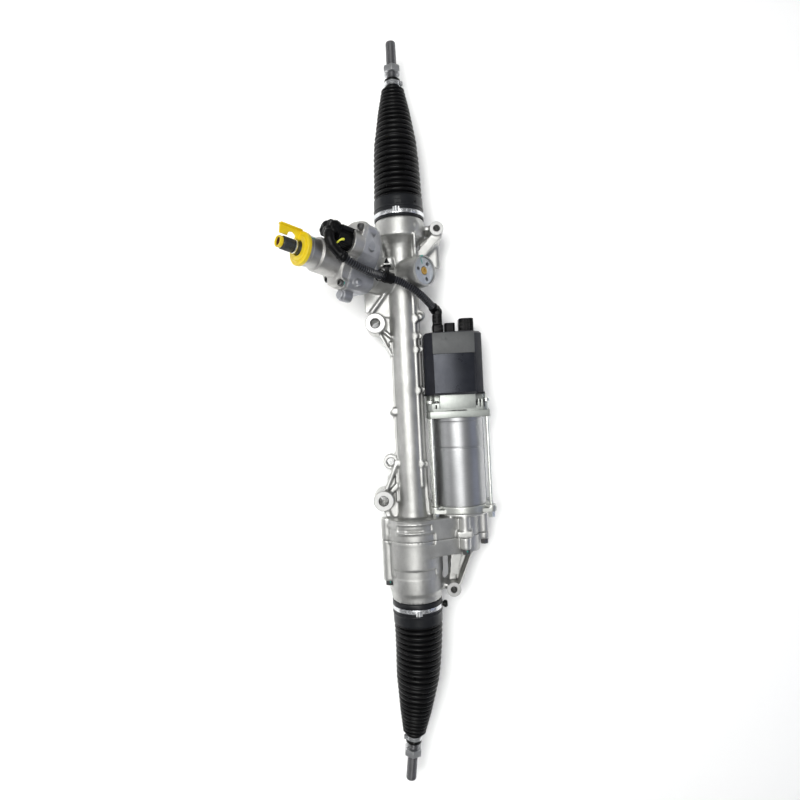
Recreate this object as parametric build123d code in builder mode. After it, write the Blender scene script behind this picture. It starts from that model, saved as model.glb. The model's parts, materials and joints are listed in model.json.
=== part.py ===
from build123d import *
import math
import os

os.makedirs("parts", exist_ok=True)

# ---------------------------------------------------------------- dimensions
# Row frame: origin midway between the two M12 mounting eyes, on their seat
# face. +X along the rack towards the pinion end, +Y towards the input shaft,
# +Z up, out of the seat face. The rack's own axis is parallel to X.
RY = -39.5            # rack axis, Y
RZ = 22.0             # rack axis height over the seat face
EYE_X = 121.1         # M12 eyes at +-X
EYE_Y = 39.5          # from the rack axis
EYE_R = 14.0
EYE_HOLE_R = 6.5
EYE_LEN = 44.0
SMALL_X = 249.2       # M8 eyes at +-X
SMALL_Y = -51.0
SMALL_R = 9.7
SMALL_HOLE_R = 4.3
SMALL_LEN = 39.0
TUBE_R = 19.8
BORE_R = 16.3
CUP_R = 34.0
RACK_R = 14.0
RACK_HALF = 311.0
STROKE = 72.0
BALL_X = 336.0        # inner ball joint centres
BALL_R = 15.0
DROOP = 6.7           # degrees the right tie rod is swung towards +Y
ROD_END = 515.0
# pinion and yoke
PIN_X = 183.0
PIN_LEAN = 8.0        # degrees, towards +X
PIN_RISE = 44.0       # degrees above the seat plane
PIN_OFF = 15.0        # pinion axis to rack axis
TEETH = 8
PITCH_X = 6.75        # rack tooth pitch along X
YOKE_X = 187.0
# drive
NUT_X0, NUT_X1 = -226.0, -150.5
PULLEY_X0, PULLEY_X1 = -192.0, -170.0
MY, MZ = -69.1, -8.0  # motor axis from the rack axis
BIG_PULLEY_R = 31.0
SMALL_PULLEY_R = 11.0
SPLIT_X = -176.0      # joint face of the two castings
BOX_X = -198.0        # far face of the belt case
NECK_X = -272.0       # far end of the drive housing's neck
VENT_X = -272.0       # knob standing on the lower bellows' clamp
ECU_X0, ECU_X1 = 21.5, 105.0

# ---------------------------------------------------------------- directions
e = math.radians(PIN_RISE)
ph = math.radians(PIN_LEAN)
U = Vector(0, -math.sin(e), math.cos(e))                      # yoke direction
P = Vector(math.sin(ph), math.cos(ph) * math.cos(e), math.cos(ph) * math.sin(e))
XD = Vector(math.cos(ph), -math.sin(ph) * math.cos(e), -math.sin(ph) * math.sin(e))
A0 = Vector(PIN_X, RY, RZ) - U * PIN_OFF                      # foot of the pinion axis
RACK = Axis((0, RY, RZ), (1, 0, 0))
MOTOR = Axis((0, RY + MY, RZ + MZ), (1, 0, 0))
PINION = Axis(A0, P)
YOKE = Axis((YOKE_X, RY, RZ), U)
SIDE = Plane(origin=(0, RY, RZ), x_dir=(1, 0, 0), z_dir=(0, -1, 0))
MSIDE = Plane(origin=(0, RY + MY, RZ + MZ), x_dir=(1, 0, 0), z_dir=(0, -1, 0))
PSIDE = Plane(origin=A0, x_dir=P, z_dir=-U)
YSIDE = Plane(origin=(YOKE_X, RY, RZ), x_dir=U, z_dir=(0, U.Z, -U.Y))


def yz(x):
    return Plane(origin=(x, RY, RZ), x_dir=(0, 1, 0), z_dir=(1, 0, 0))


def xy(z):
    return Plane(origin=(0, RY, RZ + z), x_dir=(1, 0, 0), z_dir=(0, 0, 1))


def pt(t):
    return Plane(origin=A0 + P * t, x_dir=XD, z_dir=P)


def yk(s):
    return Plane(origin=Vector(YOKE_X, RY, RZ) + U * s, x_dir=(1, 0, 0), z_dir=U)


def disc(plane, r, depth, at=(0, 0), mode=Mode.ADD):
    with BuildSketch(plane) as s:
        with Locations(at):
            Circle(r)
    return extrude(s.sketch, amount=depth, mode=mode)


def ring(plane, r1, r0, depth, at=(0, 0), mode=Mode.ADD):
    with BuildSketch(plane) as s:
        with Locations(at):
            Circle(r1)
            Circle(r0, mode=Mode.SUBTRACT)
    return extrude(s.sketch, amount=depth, mode=mode)


def slab(plane, pts, depth, mode=Mode.ADD):
    with BuildSketch(plane) as s:
        with BuildLine():
            Polyline(*pts, close=True)
        make_face()
    return extrude(s.sketch, amount=depth, mode=mode)


def turned(plane, pts, axis, mode=Mode.ADD):
    with BuildSketch(plane) as s:
        with BuildLine():
            Polyline(*pts, close=True)
        make_face()
    return revolve(s.sketch, axis=axis, mode=mode)


def case(plane, r1, c1, r2, c2, depth, mode=Mode.ADD):
    """Belt case outline: the hull round two circles."""
    with BuildSketch(plane) as s:
        with Locations(c1):
            Circle(r1)
        with Locations(c2):
            Circle(r2)
        make_hull()
    return extrude(s.sketch, amount=depth, mode=mode)


def save(builder, name):
    builder.part.label = name
    export_step(builder.part, f"parts/{name}.step")


MC = (MY, MZ)

# ---------------------------------------------------------------- rack housing
with BuildPart() as rack_housing:
    # tube, flared neck and bellows cup at the pinion end
    turned(SIDE, [(-150, 0), (-150, 23), (-140, 20.6), (-125, TUBE_R), (206, TUBE_R), (222, 20.6),
                  (229, 23.5), (235, 29), (238, CUP_R - 0.6), (240, CUP_R), (262, CUP_R),
                  (262, 31.5), (284, 31.5), (284, 0)], RACK)
    # drum shoulder and near half of the belt case
    turned(SIDE, [(-150, 0), (-150, 37), (-148, 38.5), (SPLIT_X, 38.5), (SPLIT_X, 0)], RACK)
    turned(SIDE, [(-153, 0), (-153, 40), (-156.5, 40), (-156.5, 0)], RACK)
    turned(SIDE, [(-168.5, 0), (-168.5, 40), (SPLIT_X, 40), (SPLIT_X, 0)], RACK)
    case(yz(SPLIT_X), 38.5, (0, 0), 23, MC, 29)
    # motor seat spigot ring and bolt lobes on the case's near face
    disc(yz(-147), 36, 4.5, MC)
    # parting-line ledges along the tube
    slab(xy(2), [(-125, 19), (-125, 21.5), (96, 21.5), (96, 19)], 9)
    slab(xy(3), [(-122, -17), (-122, -21.5), (150, -21.5), (165, -25), (165, -17)], 7)
    slab(xy(-12), [(-140, -15), (-140, -23.2), (98, -23.2), (98, -15)], 5)
    # main mounting eyes
    with BuildSketch(xy(-RZ)) as s:
        with Locations((EYE_X, EYE_Y), (-EYE_X, EYE_Y)):
            Circle(EYE_R)
    extrude(s.sketch, amount=EYE_LEN)
    # eye arms: a thick bar each side plus a thin web between eye and tube
    slab(xy(-14), [(114, 42), (140, 30), (176, 12), (170, 0), (96, 0), (80, 19), (107, 36)], 20)
    slab(xy(2), [(139.5, 53.5), (172, 53.5), (172, 14), (178, 0), (128, 0), (134, 48)], 6)
    slab(xy(-14), [(136, 48.5), (172, 19), (172, 14), (134, 44)], 28)
    slab(xy(-14), [(78, 18), (110, 33), (107, 36), (76, 20)], 26)
    slab(xy(-14), [(104, 18), (116, 31), (113, 34), (100, 18)], 28)
    slab(xy(-14), [(-114, 44), (-104, 36), (-72, 22), (-72, 0), (-150, 0), (-150, 30), (-136, 40)], 20)
    slab(xy(-14), [(-110, 34), (-106, 37), (-74, 24), (-70, 18), (-74, 18)], 28)
    slab(xy(-14), [(-104, 18), (-116, 30), (-111, 33), (-98, 20)], 26)
    slab(xy(-14), [(-150, 35), (-133, 42), (-128, 36), (-150, 28)], 26)
    # round hooked lug beside the far eye
    ring(xy(-8), 10.5, 5.5, 20, (-69.5, 27.5))
    slab(xy(-8), [(-64, 16), (-64, 22), (-80, 22), (-92, 34), (-97, 30), (-80, 16)], 18)
    # ejector pads along the parting ledges
    with BuildSketch(xy(6)) as s:
        with Locations((128.5, -21.5), (102.5, -20.4), (84, -20.8), (28, -20.5), (-74, -20.5), (-2, 21.5), (-72.5, 17.4)):
            Circle(4.2)
    extrude(s.sketch, amount=6)
    disc(xy(0), 7.5, 10, (131, -22))
    # triangular web between tube and motor flange
    slab(xy(4), [(-68, -10), (-130, -22.5), (-143.4, -23.2), (-143.4, -30), (-150, -34), (-150, -10)], 5)
    slab(xy(-16), [(-100, -10), (-130, -22.5), (-143.4, -23.2), (-150, -34), (-150, -10)], 5)
    slab(xy(-10), [(-68, -17), (-68, -20), (-143.4, -23.4), (-150, -30), (-150, -26), (-140, -20)], 21)
    # bolt columns
    disc(yz(SPLIT_X), 8, 31, (37, 10))
    disc(yz(SPLIT_X), 7, 29, (-69.4, 21.6))
    slab(yz(SPLIT_X), [(-76.4, 4), (-62.4, 4), (-62.4, 21.6), (-76.4, 21.6)], 29)
    slab(yz(-175), [(-58, 12), (-79, 10), (-79, 29.5), (-58, 29.5)], 9)
    disc(yz(SPLIT_X), 7, 33, (-98.5, -8))
    slab(yz(SPLIT_X), [(-88, -16), (-99, -14), (-99, -2), (-88, 0)], 29)
    disc(yz(SPLIT_X), 7, 28.6, (-30, -34))
    # upper small eye with its arm and post
    with BuildSketch(xy(-27)) as s:
        with Locations((SMALL_X, SMALL_Y)):
            Circle(SMALL_R)
    extrude(s.sketch, amount=SMALL_LEN)
    slab(xy(-10), [(246, -57), (238, -58), (206, -27), (210, -18), (216, -20), (243, -44)], 20)
    slab(xy(-22), [(255, -44), (254, -30), (248, -30), (248, -44)], 30)
    slab(xy(-22), [(250, -44), (240, -30), (215, -22), (206, -27), (238, -54)], 6)
    disc(Plane(origin=(200, RY - 49.5, RZ - 13), x_dir=(0, 1, 0), z_dir=(1, 0, 0)), 6.2, 42)
    slab(xy(-19), [(200, -49), (206, -20), (240, -30), (243, -49)], 12)
    # yoke boss and its ribs
    disc(yk(4), 21.2, 41)
    slab(Plane(origin=(0, RY - 20.8, RZ), x_dir=(1, 0, 0), z_dir=(0, 1, 0)),
         [(200, -8), (246, -8), (246, -22), (240, -30), (222, -31), (200, -33)], 3.4)
    # pinion tower
    disc(pt(-33), 19, 40)
    disc(pt(0), 24, 60)
    case(pt(47), 27, (0, 0), 23, (31, -2), 13)
    slab(xy(-6), [(186, 18), (196, 46), (250, 44), (262, 30), (262, 10), (206, 5)], 6)
    slab(xy(2), [(168, 10), (172, 52), (196, 46), (196, 10)], 6)
    # clip tab over the neck
    with BuildSketch(Plane(origin=(192.6, RY, RZ), x_dir=(0, 1, 0), z_dir=(1, 0, 0))) as s:
        with BuildLine():
            Polyline((8, 12), (30, 12), (26, 38), (24, 51), (14, 51), (11, 40), close=True)
        make_face()
        with Locations((19.5, 45)):
            Circle(2.4, mode=Mode.SUBTRACT)
    extrude(s.sketch, amount=2.8)
    slab(xy(12), [(192.6, 10), (192.6, 30), (210, 26), (210, 12)], 12)
    # round pads on the cup
    disc(Plane(origin=(251, RY - 23.5, RZ + 23.5), x_dir=(1, 0, 0), z_dir=(0, -0.7071, 0.7071)), 5.5, 2.2)
    # ---- bores
    turned(SIDE, [(-151, 0), (-151, BORE_R), (228, BORE_R), (240, 27), (285, 27), (285, 0)], RACK, Mode.SUBTRACT)
    disc(yz(-166), 34, 17, mode=Mode.SUBTRACT)
    case(yz(SPLIT_X - 1), 35, (0, 0), 18.5, MC, 11, mode=Mode.SUBTRACT)
    disc(yz(-166.5), 18.5, 10, MC, mode=Mode.SUBTRACT)
    disc(yz(-157), 9.5, 20, MC, mode=Mode.SUBTRACT)
    disc(yz(-149), 30.2, 10, MC, mode=Mode.SUBTRACT)
    disc(pt(-27), 11.1, 60, mode=Mode.SUBTRACT)
    disc(pt(-15), 12.6, 60, mode=Mode.SUBTRACT)
    disc(pt(24), 21, 40, mode=Mode.SUBTRACT)
    case(pt(52), 24, (0, 0), 18, (30, -2), 12, mode=Mode.SUBTRACT)
    disc(yk(2), 15.0, 50, mode=Mode.SUBTRACT)
    disc(yk(34), 18.5, 20, mode=Mode.SUBTRACT)
    with BuildSketch(xy(-RZ - 1)) as s:
        with Locations((EYE_X, EYE_Y), (-EYE_X, EYE_Y)):
            Circle(EYE_HOLE_R)
    extrude(s.sketch, amount=EYE_LEN + 2, mode=Mode.SUBTRACT)
    disc(xy(-28), SMALL_HOLE_R, SMALL_LEN + 2, (SMALL_X, SMALL_Y), Mode.SUBTRACT)
    # shallow rounded recess round the drum's shoulder, facing up
    with BuildSketch(xy(36.6)) as s:
        with Locations((-162.5, -1)):
            RectangleRounded(7.5, 42, 3)
    extrude(s.sketch, amount=8, mode=Mode.SUBTRACT)
    # threaded bolt holes in the joint face
    for c in ((37, 10), (-69.4, 21.6), (-98.5, -8), (-30, -34)):
        disc(yz(SPLIT_X - 1), 3.0, 24, c, Mode.SUBTRACT)
save(rack_housing, "rack_housing")

# ---------------------------------------------------------------- drive housing
with BuildPart() as drive_housing:
    turned(SIDE, [(SPLIT_X, 0), (SPLIT_X, 40), (-179.5, 40), (-179.5, 38), (-222, 38), (-227, 36.6), (-246, 36.6),
                  (-251, 34.8), (-259, 34.4), (-259, 31.5), (NECK_X - 8, 31.5), (NECK_X - 8, 0)], RACK)
    case(yz(BOX_X), 38, (0, 0), 23, MC, 22)
    disc(yz(-231), 8, 55, (37, 10))
    disc(yz(-191), 7, 15, (-69.4, 21.6))
    slab(yz(-191), [(-76.4, 4), (-62.4, 4), (-62.4, 21.6), (-76.4, 21.6)], 15)
    disc(yz(-185), 7, 9, (-98.5, -8))
    slab(yz(-185), [(-88, -16), (-99, -14), (-99, -2), (-88, 0)], 9)
    disc(yz(-205), 7, 29, (-30, -34))
    slab(xy(2), [(-180, 34), (-230, 34), (-230, 28), (-180, 28)], 16)
    # arm of the far small eye: channel section, with a flat wide edge and a thin one
    with BuildSketch(xy(-27)) as s:
        with Locations((-SMALL_X, SMALL_Y)):
            Circle(SMALL_R)
    extrude(s.sketch, amount=SMALL_LEN)
    slab(xy(-15), [(-190, -46), (-190, -84), (-232, -66), (-247, -58), (-244, -45), (-228, -46)], 6)
    slab(xy(-15), [(-190, -50), (-190, -67), (-229, -57), (-227, -46.6)], 27)
    slab(xy(-15), [(-190, -80.5), (-190, -82.3), (-241, -62.8), (-244, -60), (-242, -58.5)], 27)
    slab(xy(-15), [(-227, -47), (-229, -57), (-247, -55), (-245, -46)], 12)
    slab(xy(-15), [(-236, -33), (-243, -46), (-253, -46), (-256, -33)], 8)
    slab(xy(-15), [(-239, -33), (-243, -46), (-247, -46), (-243, -33)], 25)
    # ---- cavity: nut bearing, pulley, nut, then the bellows neck
    turned(SIDE, [(SPLIT_X + 1, 0), (SPLIT_X + 1, 35), (-196, 35), (-196, 34.2), (-218, 34.2), (-218, 32),
                  (-230, 27), (NECK_X - 9, 27), (NECK_X - 9, 0)], RACK, Mode.SUBTRACT)
    case(yz(-194), 35, (0, 0), 18.5, MC, 20, mode=Mode.SUBTRACT)
    disc(xy(-28), SMALL_HOLE_R, SMALL_LEN + 2, (-SMALL_X, SMALL_Y), Mode.SUBTRACT)
    disc(yz(-232), 3.3, 60, (37, 10), Mode.SUBTRACT)
    disc(yz(-239.5), 6.6, 8.5, (37, 10), Mode.SUBTRACT)
    disc(yz(-199.5), 6.5, 8.5, (-69.4, 21.6), Mode.SUBTRACT)
    disc(yz(-192), 3.3, 20, (-69.4, 21.6), Mode.SUBTRACT)
    disc(yz(-186), 3.3, 12, (-98.5, -8), Mode.SUBTRACT)
    disc(yz(-206), 3.3, 32, (-30, -34), Mode.SUBTRACT)
save(drive_housing, "drive_housing")

with BuildPart() as drive_housing_bolts:
    for (y, z), x in (((37, 10), -231), ((-69.4, 21.6), -191), ((-98.5, -8), -185), ((-30, -34), -205)):
        disc(yz(x - 1.4), 6.2, 1.4, (y, z))
        with BuildSketch(yz(x - 7.4)) as s:
            with Locations((y, z)):
                RegularPolygon(5.0, 6, major_radius=False)
        extrude(s.sketch, amount=6)
        disc(yz(x), 3.0, -157 - x, (y, z))
save(drive_housing_bolts, "drive_housing_bolts")

# ---------------------------------------------------------------- pinion tower
# outline of the joint face between sensor housing and cover, and of the housing's foot
LID = [(-18.9, 25.8), (-27.5, 17.3), (-31.9, 9.5), (-35.9, 1), (-37, -7), (-35, -13.5), (-28, -16.5), (-23.8, -15.7),
       (-16.7, -18.9), (-9.9, -22.8), (-0.2, -33), (6.9, -39.8), (16.8, -43.8), (26.8, -47.3), (33.1, -49.5),
       (38.5, -49.5), (42.5, -46), (44.7, -38), (46.7, -25), (45.2, -16.5), (41.9, -8), (36, 6), (24, 22), (8, 31),
       (-6, 32.5)]
FOOT = [(-18.5, 25.5), (-27, 17.3), (-31.5, 9.5), (-34.5, 1), (-35, -8), (-34, -16), (-31, -22), (-25, -26),
        (-16, -26.6), (-6, -26.2), (2, -29.5), (8, -32.7), (16, -35.5), (24, -35.8), (32, -35.2), (39, -34),
        (44, -32.5), (47.5, -29), (48, -20), (47, -12), (44.5, -4), (39, 9), (26, 24), (9, 32), (-6, 33)]
LID_BOLTS = ((35, -44), (-30.5, -10.8), (27, 9), (-20.5, 17.5))
CUP = (17.5, -29.5)

with BuildPart() as sensor_housing:
    with BuildSketch(pt(60)) as s0:
        with BuildLine():
            Polyline(*FOOT, close=True)
        make_face()
    with BuildSketch(pt(94)) as s1:
        with BuildLine():
            Polyline(*LID, close=True)
        make_face()
    loft([s0.sketch, s1.sketch], ruled=True)
    slab(pt(88), LID, 6)
    disc(pt(78), 6, 16, (35.2, -43.4))
    # lower stub with its collar, pads
    disc(pt(66), 6.5, 30, (-41.3, 0.1))
    disc(pt(66), 8, 26, (-41.3, 0.1))
    slab(pt(66), [(-41.3, -6.5), (-30, -6.5), (-30, 6.5), (-41.3, 6.5)], 17)
    disc(Plane(origin=A0 + P * 79 + XD * 17.6 + U * 36, x_dir=P, z_dir=U), 6, 6.5)
    disc(Plane(origin=A0 + P * 83 + XD * -27 + U * 16, x_dir=P, z_dir=U), 4.5, 9)
    # ---- hollows
    case(pt(59), 24, (0, 0), 14, (26, -4), 16, mode=Mode.SUBTRACT)
    disc(pt(59), 9, 16, (18, -24), Mode.SUBTRACT)
    disc(pt(74), 20.5, 21, mode=Mode.SUBTRACT)
    disc(pt(74), 7, 21, (18, -25), Mode.SUBTRACT)
    for c in LID_BOLTS:
        disc(pt(80), 2.5, 15, c, Mode.SUBTRACT)
save(sensor_housing, "sensor_housing")

with BuildPart() as sensor_cover:
    turned(PSIDE, [(94, 0), (94, 33.5), (100, 33), (103.5, 31), (106, 27.5), (107.5, 24), (109.5, 22), (136.5, 22),
                   (138, 19.2), (156, 19.2), (156, 0)], PINION)
    with BuildSketch(pt(93)) as s:
        with BuildLine():
            Polyline(*LID, close=True)
        make_face()
    extrude(s.sketch, amount=70, mode=Mode.INTERSECT)
    slab(pt(94), LID, 6)
    disc(pt(94), 17.2, 16, CUP)
    # ---- hollows
    turned(PSIDE, [(93, 0), (93, 20.5), (101, 20.5), (105, 16), (137, 16), (137, 14.5), (157, 14.5), (157, 0)],
           PINION, Mode.SUBTRACT)
    disc(pt(98), 12.8, 20, CUP, Mode.SUBTRACT)
    disc(pt(93), 7, 6, (18, -25), Mode.SUBTRACT)
    disc(pt(93), 6.9, 3.4, (-41.3, 0.1), Mode.SUBTRACT)  # clear of the stub
    for c in LID_BOLTS:
        disc(pt(93), 2.9, 24, c, Mode.SUBTRACT)
        disc(pt(100), 4.8, 20, c, Mode.SUBTRACT)
save(sensor_cover, "sensor_cover")

with BuildPart() as sensor_cover_bolts:
    for c in LID_BOLTS:
        disc(pt(100), 4.2, 5.2, c)
        disc(pt(81), 2.5, 20, c)
        with BuildSketch(pt(102)) as s:
            with Locations(c):
                RegularPolygon(2.0, 6, major_radius=False)
        extrude(s.sketch, amount=5, mode=Mode.SUBTRACT)
save(sensor_cover_bolts, "sensor_cover_bolts")

with BuildPart() as torque_sensor:
    ring(pt(62), 23.6, 15, 12)
    with BuildSketch(pt(64)) as s:
        with Locations((26, -4)):
            Rectangle(20, 18)
    extrude(s.sketch, amount=8)
    # terminal block under the connector cup
    with BuildSketch(pt(63)) as s:
        with Locations((16, -21)):
            Rectangle(8, 10)
    extrude(s.sketch, amount=10)
    disc(pt(60), 15, 20, mode=Mode.SUBTRACT)
save(torque_sensor, "torque_sensor")

with BuildPart() as input_shaft_seal:
    ring(pt(138), 14.5, 8.6, 7)
save(input_shaft_seal, "input_shaft_seal")

with BuildPart() as input_bearing:
    ring(pt(112), 15.9, 8.55, 9)
save(input_bearing, "input_bearing")

with BuildPart() as pinion_lower_bearing:
    ring(pt(-26), 11.1, 7.05, 9)
save(pinion_lower_bearing, "pinion_lower_bearing")

with BuildPart() as pinion_upper_bearing:
    ring(pt(26), 21, 10.05, 10)
save(pinion_upper_bearing, "pinion_upper_bearing")

# pinion teeth: involute flanks on the pitch circle
NORMAL_PITCH = PITCH_X * math.cos(ph)
MOD = NORMAL_PITCH / math.pi
RP = MOD * TEETH / 2
ALPHA = math.radians(20)
RB = RP * math.cos(ALPHA)
RA = RP + 2.3
RF = RP - 1.45
HALF = (NORMAL_PITCH / 2 - 0.2) / (2 * RP)
INV20 = math.tan(ALPHA) - ALPHA


def half_angle(r):
    if r <= RB:
        return HALF + INV20
    a = math.acos(RB / r)
    return HALF + INV20 - (math.tan(a) - a)


tooth_pts = []
for k in range(TEETH):
    mid = -math.pi / 2 + 2 * math.pi * k / TEETH
    rs = [RF, RB] + [RB + (RA - RB) * i / 6 for i in range(1, 7)]
    for r in rs:
        tooth_pts.append((r * math.cos(mid - half_angle(r)), r * math.sin(mid - half_angle(r))))
    for r in reversed(rs):
        tooth_pts.append((r * math.cos(mid + half_angle(r)), r * math.sin(mid + half_angle(r))))

with BuildPart() as pinion_shaft:
    with BuildSketch(pt(-13.5)) as s:
        with BuildLine():
            Polyline(*tooth_pts, close=True)
        make_face()
    extrude(s.sketch, amount=27)
    disc(pt(-25.5), 7.0, 12)
    disc(pt(13.5), 8.5, 3)
    disc(pt(16.5), 12.0, 7)
    disc(pt(23.5), 12.5, 2.5)
    disc(pt(26), 10.0, 22)
    disc(pt(48), 13.0, 10)
    disc(pt(58), 14.4, 9)
    disc(pt(34), 4.6, 40, mode=Mode.SUBTRACT)
    disc(pt(56), 8.57, 20, mode=Mode.SUBTRACT)
save(pinion_shaft, "pinion_shaft")

with BuildPart() as torsion_bar:
    disc(pt(36), 4.6, 8)
    disc(pt(44), 2.6, 110)
    disc(pt(154), 4.34, 20)
save(torsion_bar, "torsion_bar")

with BuildPart() as input_shaft:
    turned(PSIDE, [(58, 0), (58, 8.5), (70, 8.5), (70, 14.4), (76, 14.4), (76, 10), (80, 8.5), (160, 8.5),
                   (163, 7.2), (166, 7.2), (166, 8.3), (169, 8.3), (169, 6.8), (171.5, 6.8), (171.5, 8.2),
                   (184, 8.2), (185.5, 5.4), (188, 5.4), (188, 0)], PINION)
    with BuildSketch(pt(171.6)) as s:
        with PolarLocations(8.3, 36):
            Rectangle(0.9, 0.7)
    extrude(s.sketch, amount=12.4, mode=Mode.SUBTRACT)
    disc(pt(57), 3.2, 110, mode=Mode.SUBTRACT)
    disc(pt(154), 4.4, 20, mode=Mode.SUBTRACT)
    disc(pt(174), 4.0, 15, mode=Mode.SUBTRACT)
save(input_shaft, "input_shaft")

with BuildPart() as shaft_tip_ring:
    ring(pt(185.5), 7.2, 5.4, 4.5)
save(shaft_tip_ring, "shaft_tip_ring")

with BuildPart() as transit_cap:
    turned(PSIDE, [(154.6, 19.4), (154.6, 20.6), (156, 21.2), (160, 21.2), (160.8, 20.2), (160.8, 17.6), (164, 16.4), (164, 9.6),
                   (156.4, 9.6), (156.4, 19.4)], PINION)
    with BuildSketch(Plane(origin=A0, x_dir=P, z_dir=-U)) as s:
        with BuildLine():
            Polyline((157, 12), (157, 23.6), (188.5, 23.6), (188.5, 10.5), (163, 10.5), (163, 12), close=True)
        make_face()
        with Locations((172, 12.6)):
            Circle(4.9, mode=Mode.SUBTRACT)
    extrude(s.sketch, amount=1.2, both=True)
    with BuildSketch(Plane(origin=A0 + U * 3.4, x_dir=P, z_dir=-U)) as s:
        with Locations((172.7, 22.6)):
            Rectangle(31.4, 2.4)
    extrude(s.sketch, amount=6.8)
save(transit_cap, "transit_cap")

# ---------------------------------------------------------------- yoke
with BuildPart() as yoke:
    disc(yk(4), 14.9, 24)
    disc(yk(20), 8, 9, mode=Mode.SUBTRACT)
    disc(yz(150), RACK_R + 0.08, 80, mode=Mode.SUBTRACT)
save(yoke, "yoke")

with BuildPart() as yoke_spring:
    for s0 in (28.0, 30.4):
        turned(YSIDE, [(s0 + 0.2, 6.2), (s0 + 1.8, 13), (s0 + 2.6, 13), (s0 + 1.0, 6.2)], YOKE)
save(yoke_spring, "yoke_spring")

with BuildPart() as yoke_plug:
    disc(yk(34), 18.5, 9.6)
    for k in range(3):
        a = math.radians(35 + 120 * k)
        disc(yk(38.5), 1.9, 8, (9.6 * math.cos(a), 9.6 * math.sin(a)), Mode.SUBTRACT)
    disc(yk(41.6), 4.9, 4, mode=Mode.SUBTRACT)
save(yoke_plug, "yoke_plug")

with BuildPart() as yoke_plug_cap:
    turned(YSIDE, [(41.6, 0), (41.6, 4.9), (44.0, 4.9), (44.6, 4.0), (44.6, 1.6), (43.4, 1.6), (43.4, 0)], YOKE)
save(yoke_plug_cap, "yoke_plug_cap")

# ---------------------------------------------------------------- rack and its bush
with BuildPart() as rack_bar:
    thread = []
    x = -292.0
    while x < -100:
        thread += [(x, RACK_R), (x + 1.6, 12.9), (x + 3.4, 12.9), (x + 5.0, RACK_R)]
        x += 7.0
    turned(SIDE, [(-RACK_HALF, 0), (-RACK_HALF, RACK_R)] + thread + [(RACK_HALF, RACK_R), (RACK_HALF, 0)], RACK)
    TIP = -RP + 0.95
    ROOT = -RP - 2.3 - 0.35
    # tooth flat, then the gaps between the teeth
    with BuildSketch(pt(-30)) as s:
        with BuildLine():
            Polyline((-86, TIP), (86, TIP), (86, 9), (-86, 9), close=True)
        make_face()
    extrude(s.sketch, amount=60, mode=Mode.SUBTRACT)
    g = NORMAL_PITCH / 4 + 0.05
    tan20 = math.tan(ALPHA)
    with BuildSketch(pt(-30)) as s:
        for k in range(-12, 13):
            c = k * NORMAL_PITCH
            top = TIP + 0.5
            wt = g + (top + RP) * tan20
            wr = g + (ROOT + RP) * tan20
            with BuildLine():
                Polyline((c - wt, top), (c + wt, top), (c + wr, ROOT), (c - wr, ROOT), close=True)
            make_face()
    extrude(s.sketch, amount=60, mode=Mode.SUBTRACT)
save(rack_bar, "rack_bar")

with BuildPart() as rack_bush:
    ring(yz(206), BORE_R, RACK_R + 0.07, 18)
save(rack_bush, "rack_bush")

# ---------------------------------------------------------------- ball nut drive
with BuildPart() as ball_nut:
    ring(yz(NUT_X0), 23.5, 19.2, NUT_X1 - NUT_X0)
    ring(yz(NUT_X0), 22, 14.1, 6)
    ring(yz(NUT_X1 - 6), 22, 14.1, 6)
    ring(yz(-196), 25.5, 22, 2.5)
save(ball_nut, "ball_nut")

with BuildPart() as nut_balls:
    for row in range(4):
        plane = yz(-214 + 14.0 * row)
        for k in range(9):
            a = math.radians(40 * k + 10 * row)
            with Locations(plane.offset(0).location * Location((16.6 * math.cos(a), 16.6 * math.sin(a), 0))):
                Sphere(2.5)
save(nut_balls, "nut_balls")

with BuildPart() as nut_bearing:
    ring(yz(-165.5), 34.0, 31.7, 15)
    ring(yz(-165.5), 25.2, 23.55, 15)
    with Locations(*[yz(-158).location * Location((28.45 * math.cos(math.radians(30 * k)),
                                                  28.45 * math.sin(math.radians(30 * k)), 0)) for k in range(12)]):
        Sphere(3.15)
save(nut_bearing, "nut_bearing")


with BuildPart() as nut_pulley:
    ring(yz(PULLEY_X0 + 1), BIG_PULLEY_R, 23.5, PULLEY_X1 - PULLEY_X0 - 2)
    with BuildSketch(yz(PULLEY_X0 + 1)) as s:
        with PolarLocations(BIG_PULLEY_R, 62):
            Rectangle(1.6, 1.5)
    extrude(s.sketch, amount=PULLEY_X1 - PULLEY_X0 - 2, mode=Mode.SUBTRACT)
    ring(yz(PULLEY_X0 - 0.6), 32.5, 23.5, 1.6)
save(nut_pulley, "nut_pulley")

with BuildPart() as drive_belt:
    case(yz(PULLEY_X0 + 2), BIG_PULLEY_R + 2.6, (0, 0), SMALL_PULLEY_R + 2.6, MC, 18)
    case(yz(PULLEY_X0 + 1), BIG_PULLEY_R + 0.4, (0, 0), SMALL_PULLEY_R + 0.4, MC, 20, mode=Mode.SUBTRACT)
save(drive_belt, "drive_belt")

# ---------------------------------------------------------------- motor
with BuildPart() as motor_can:
    turned(MSIDE, [(-133, 0), (-133, 34.6), (-54.2, 34.6), (-54.2, 33.9), (-52.6, 33.9), (-52.6, 34.6),
                   (-17, 34.6), (-16, 35.4), (-12.5, 35.4), (-12.5, 0)], MOTOR)
    turned(MSIDE, [(-134, 0), (-134, 31.8), (-11, 31.8), (-11, 0)], MOTOR, Mode.SUBTRACT)
save(motor_can, "motor_can")

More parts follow.
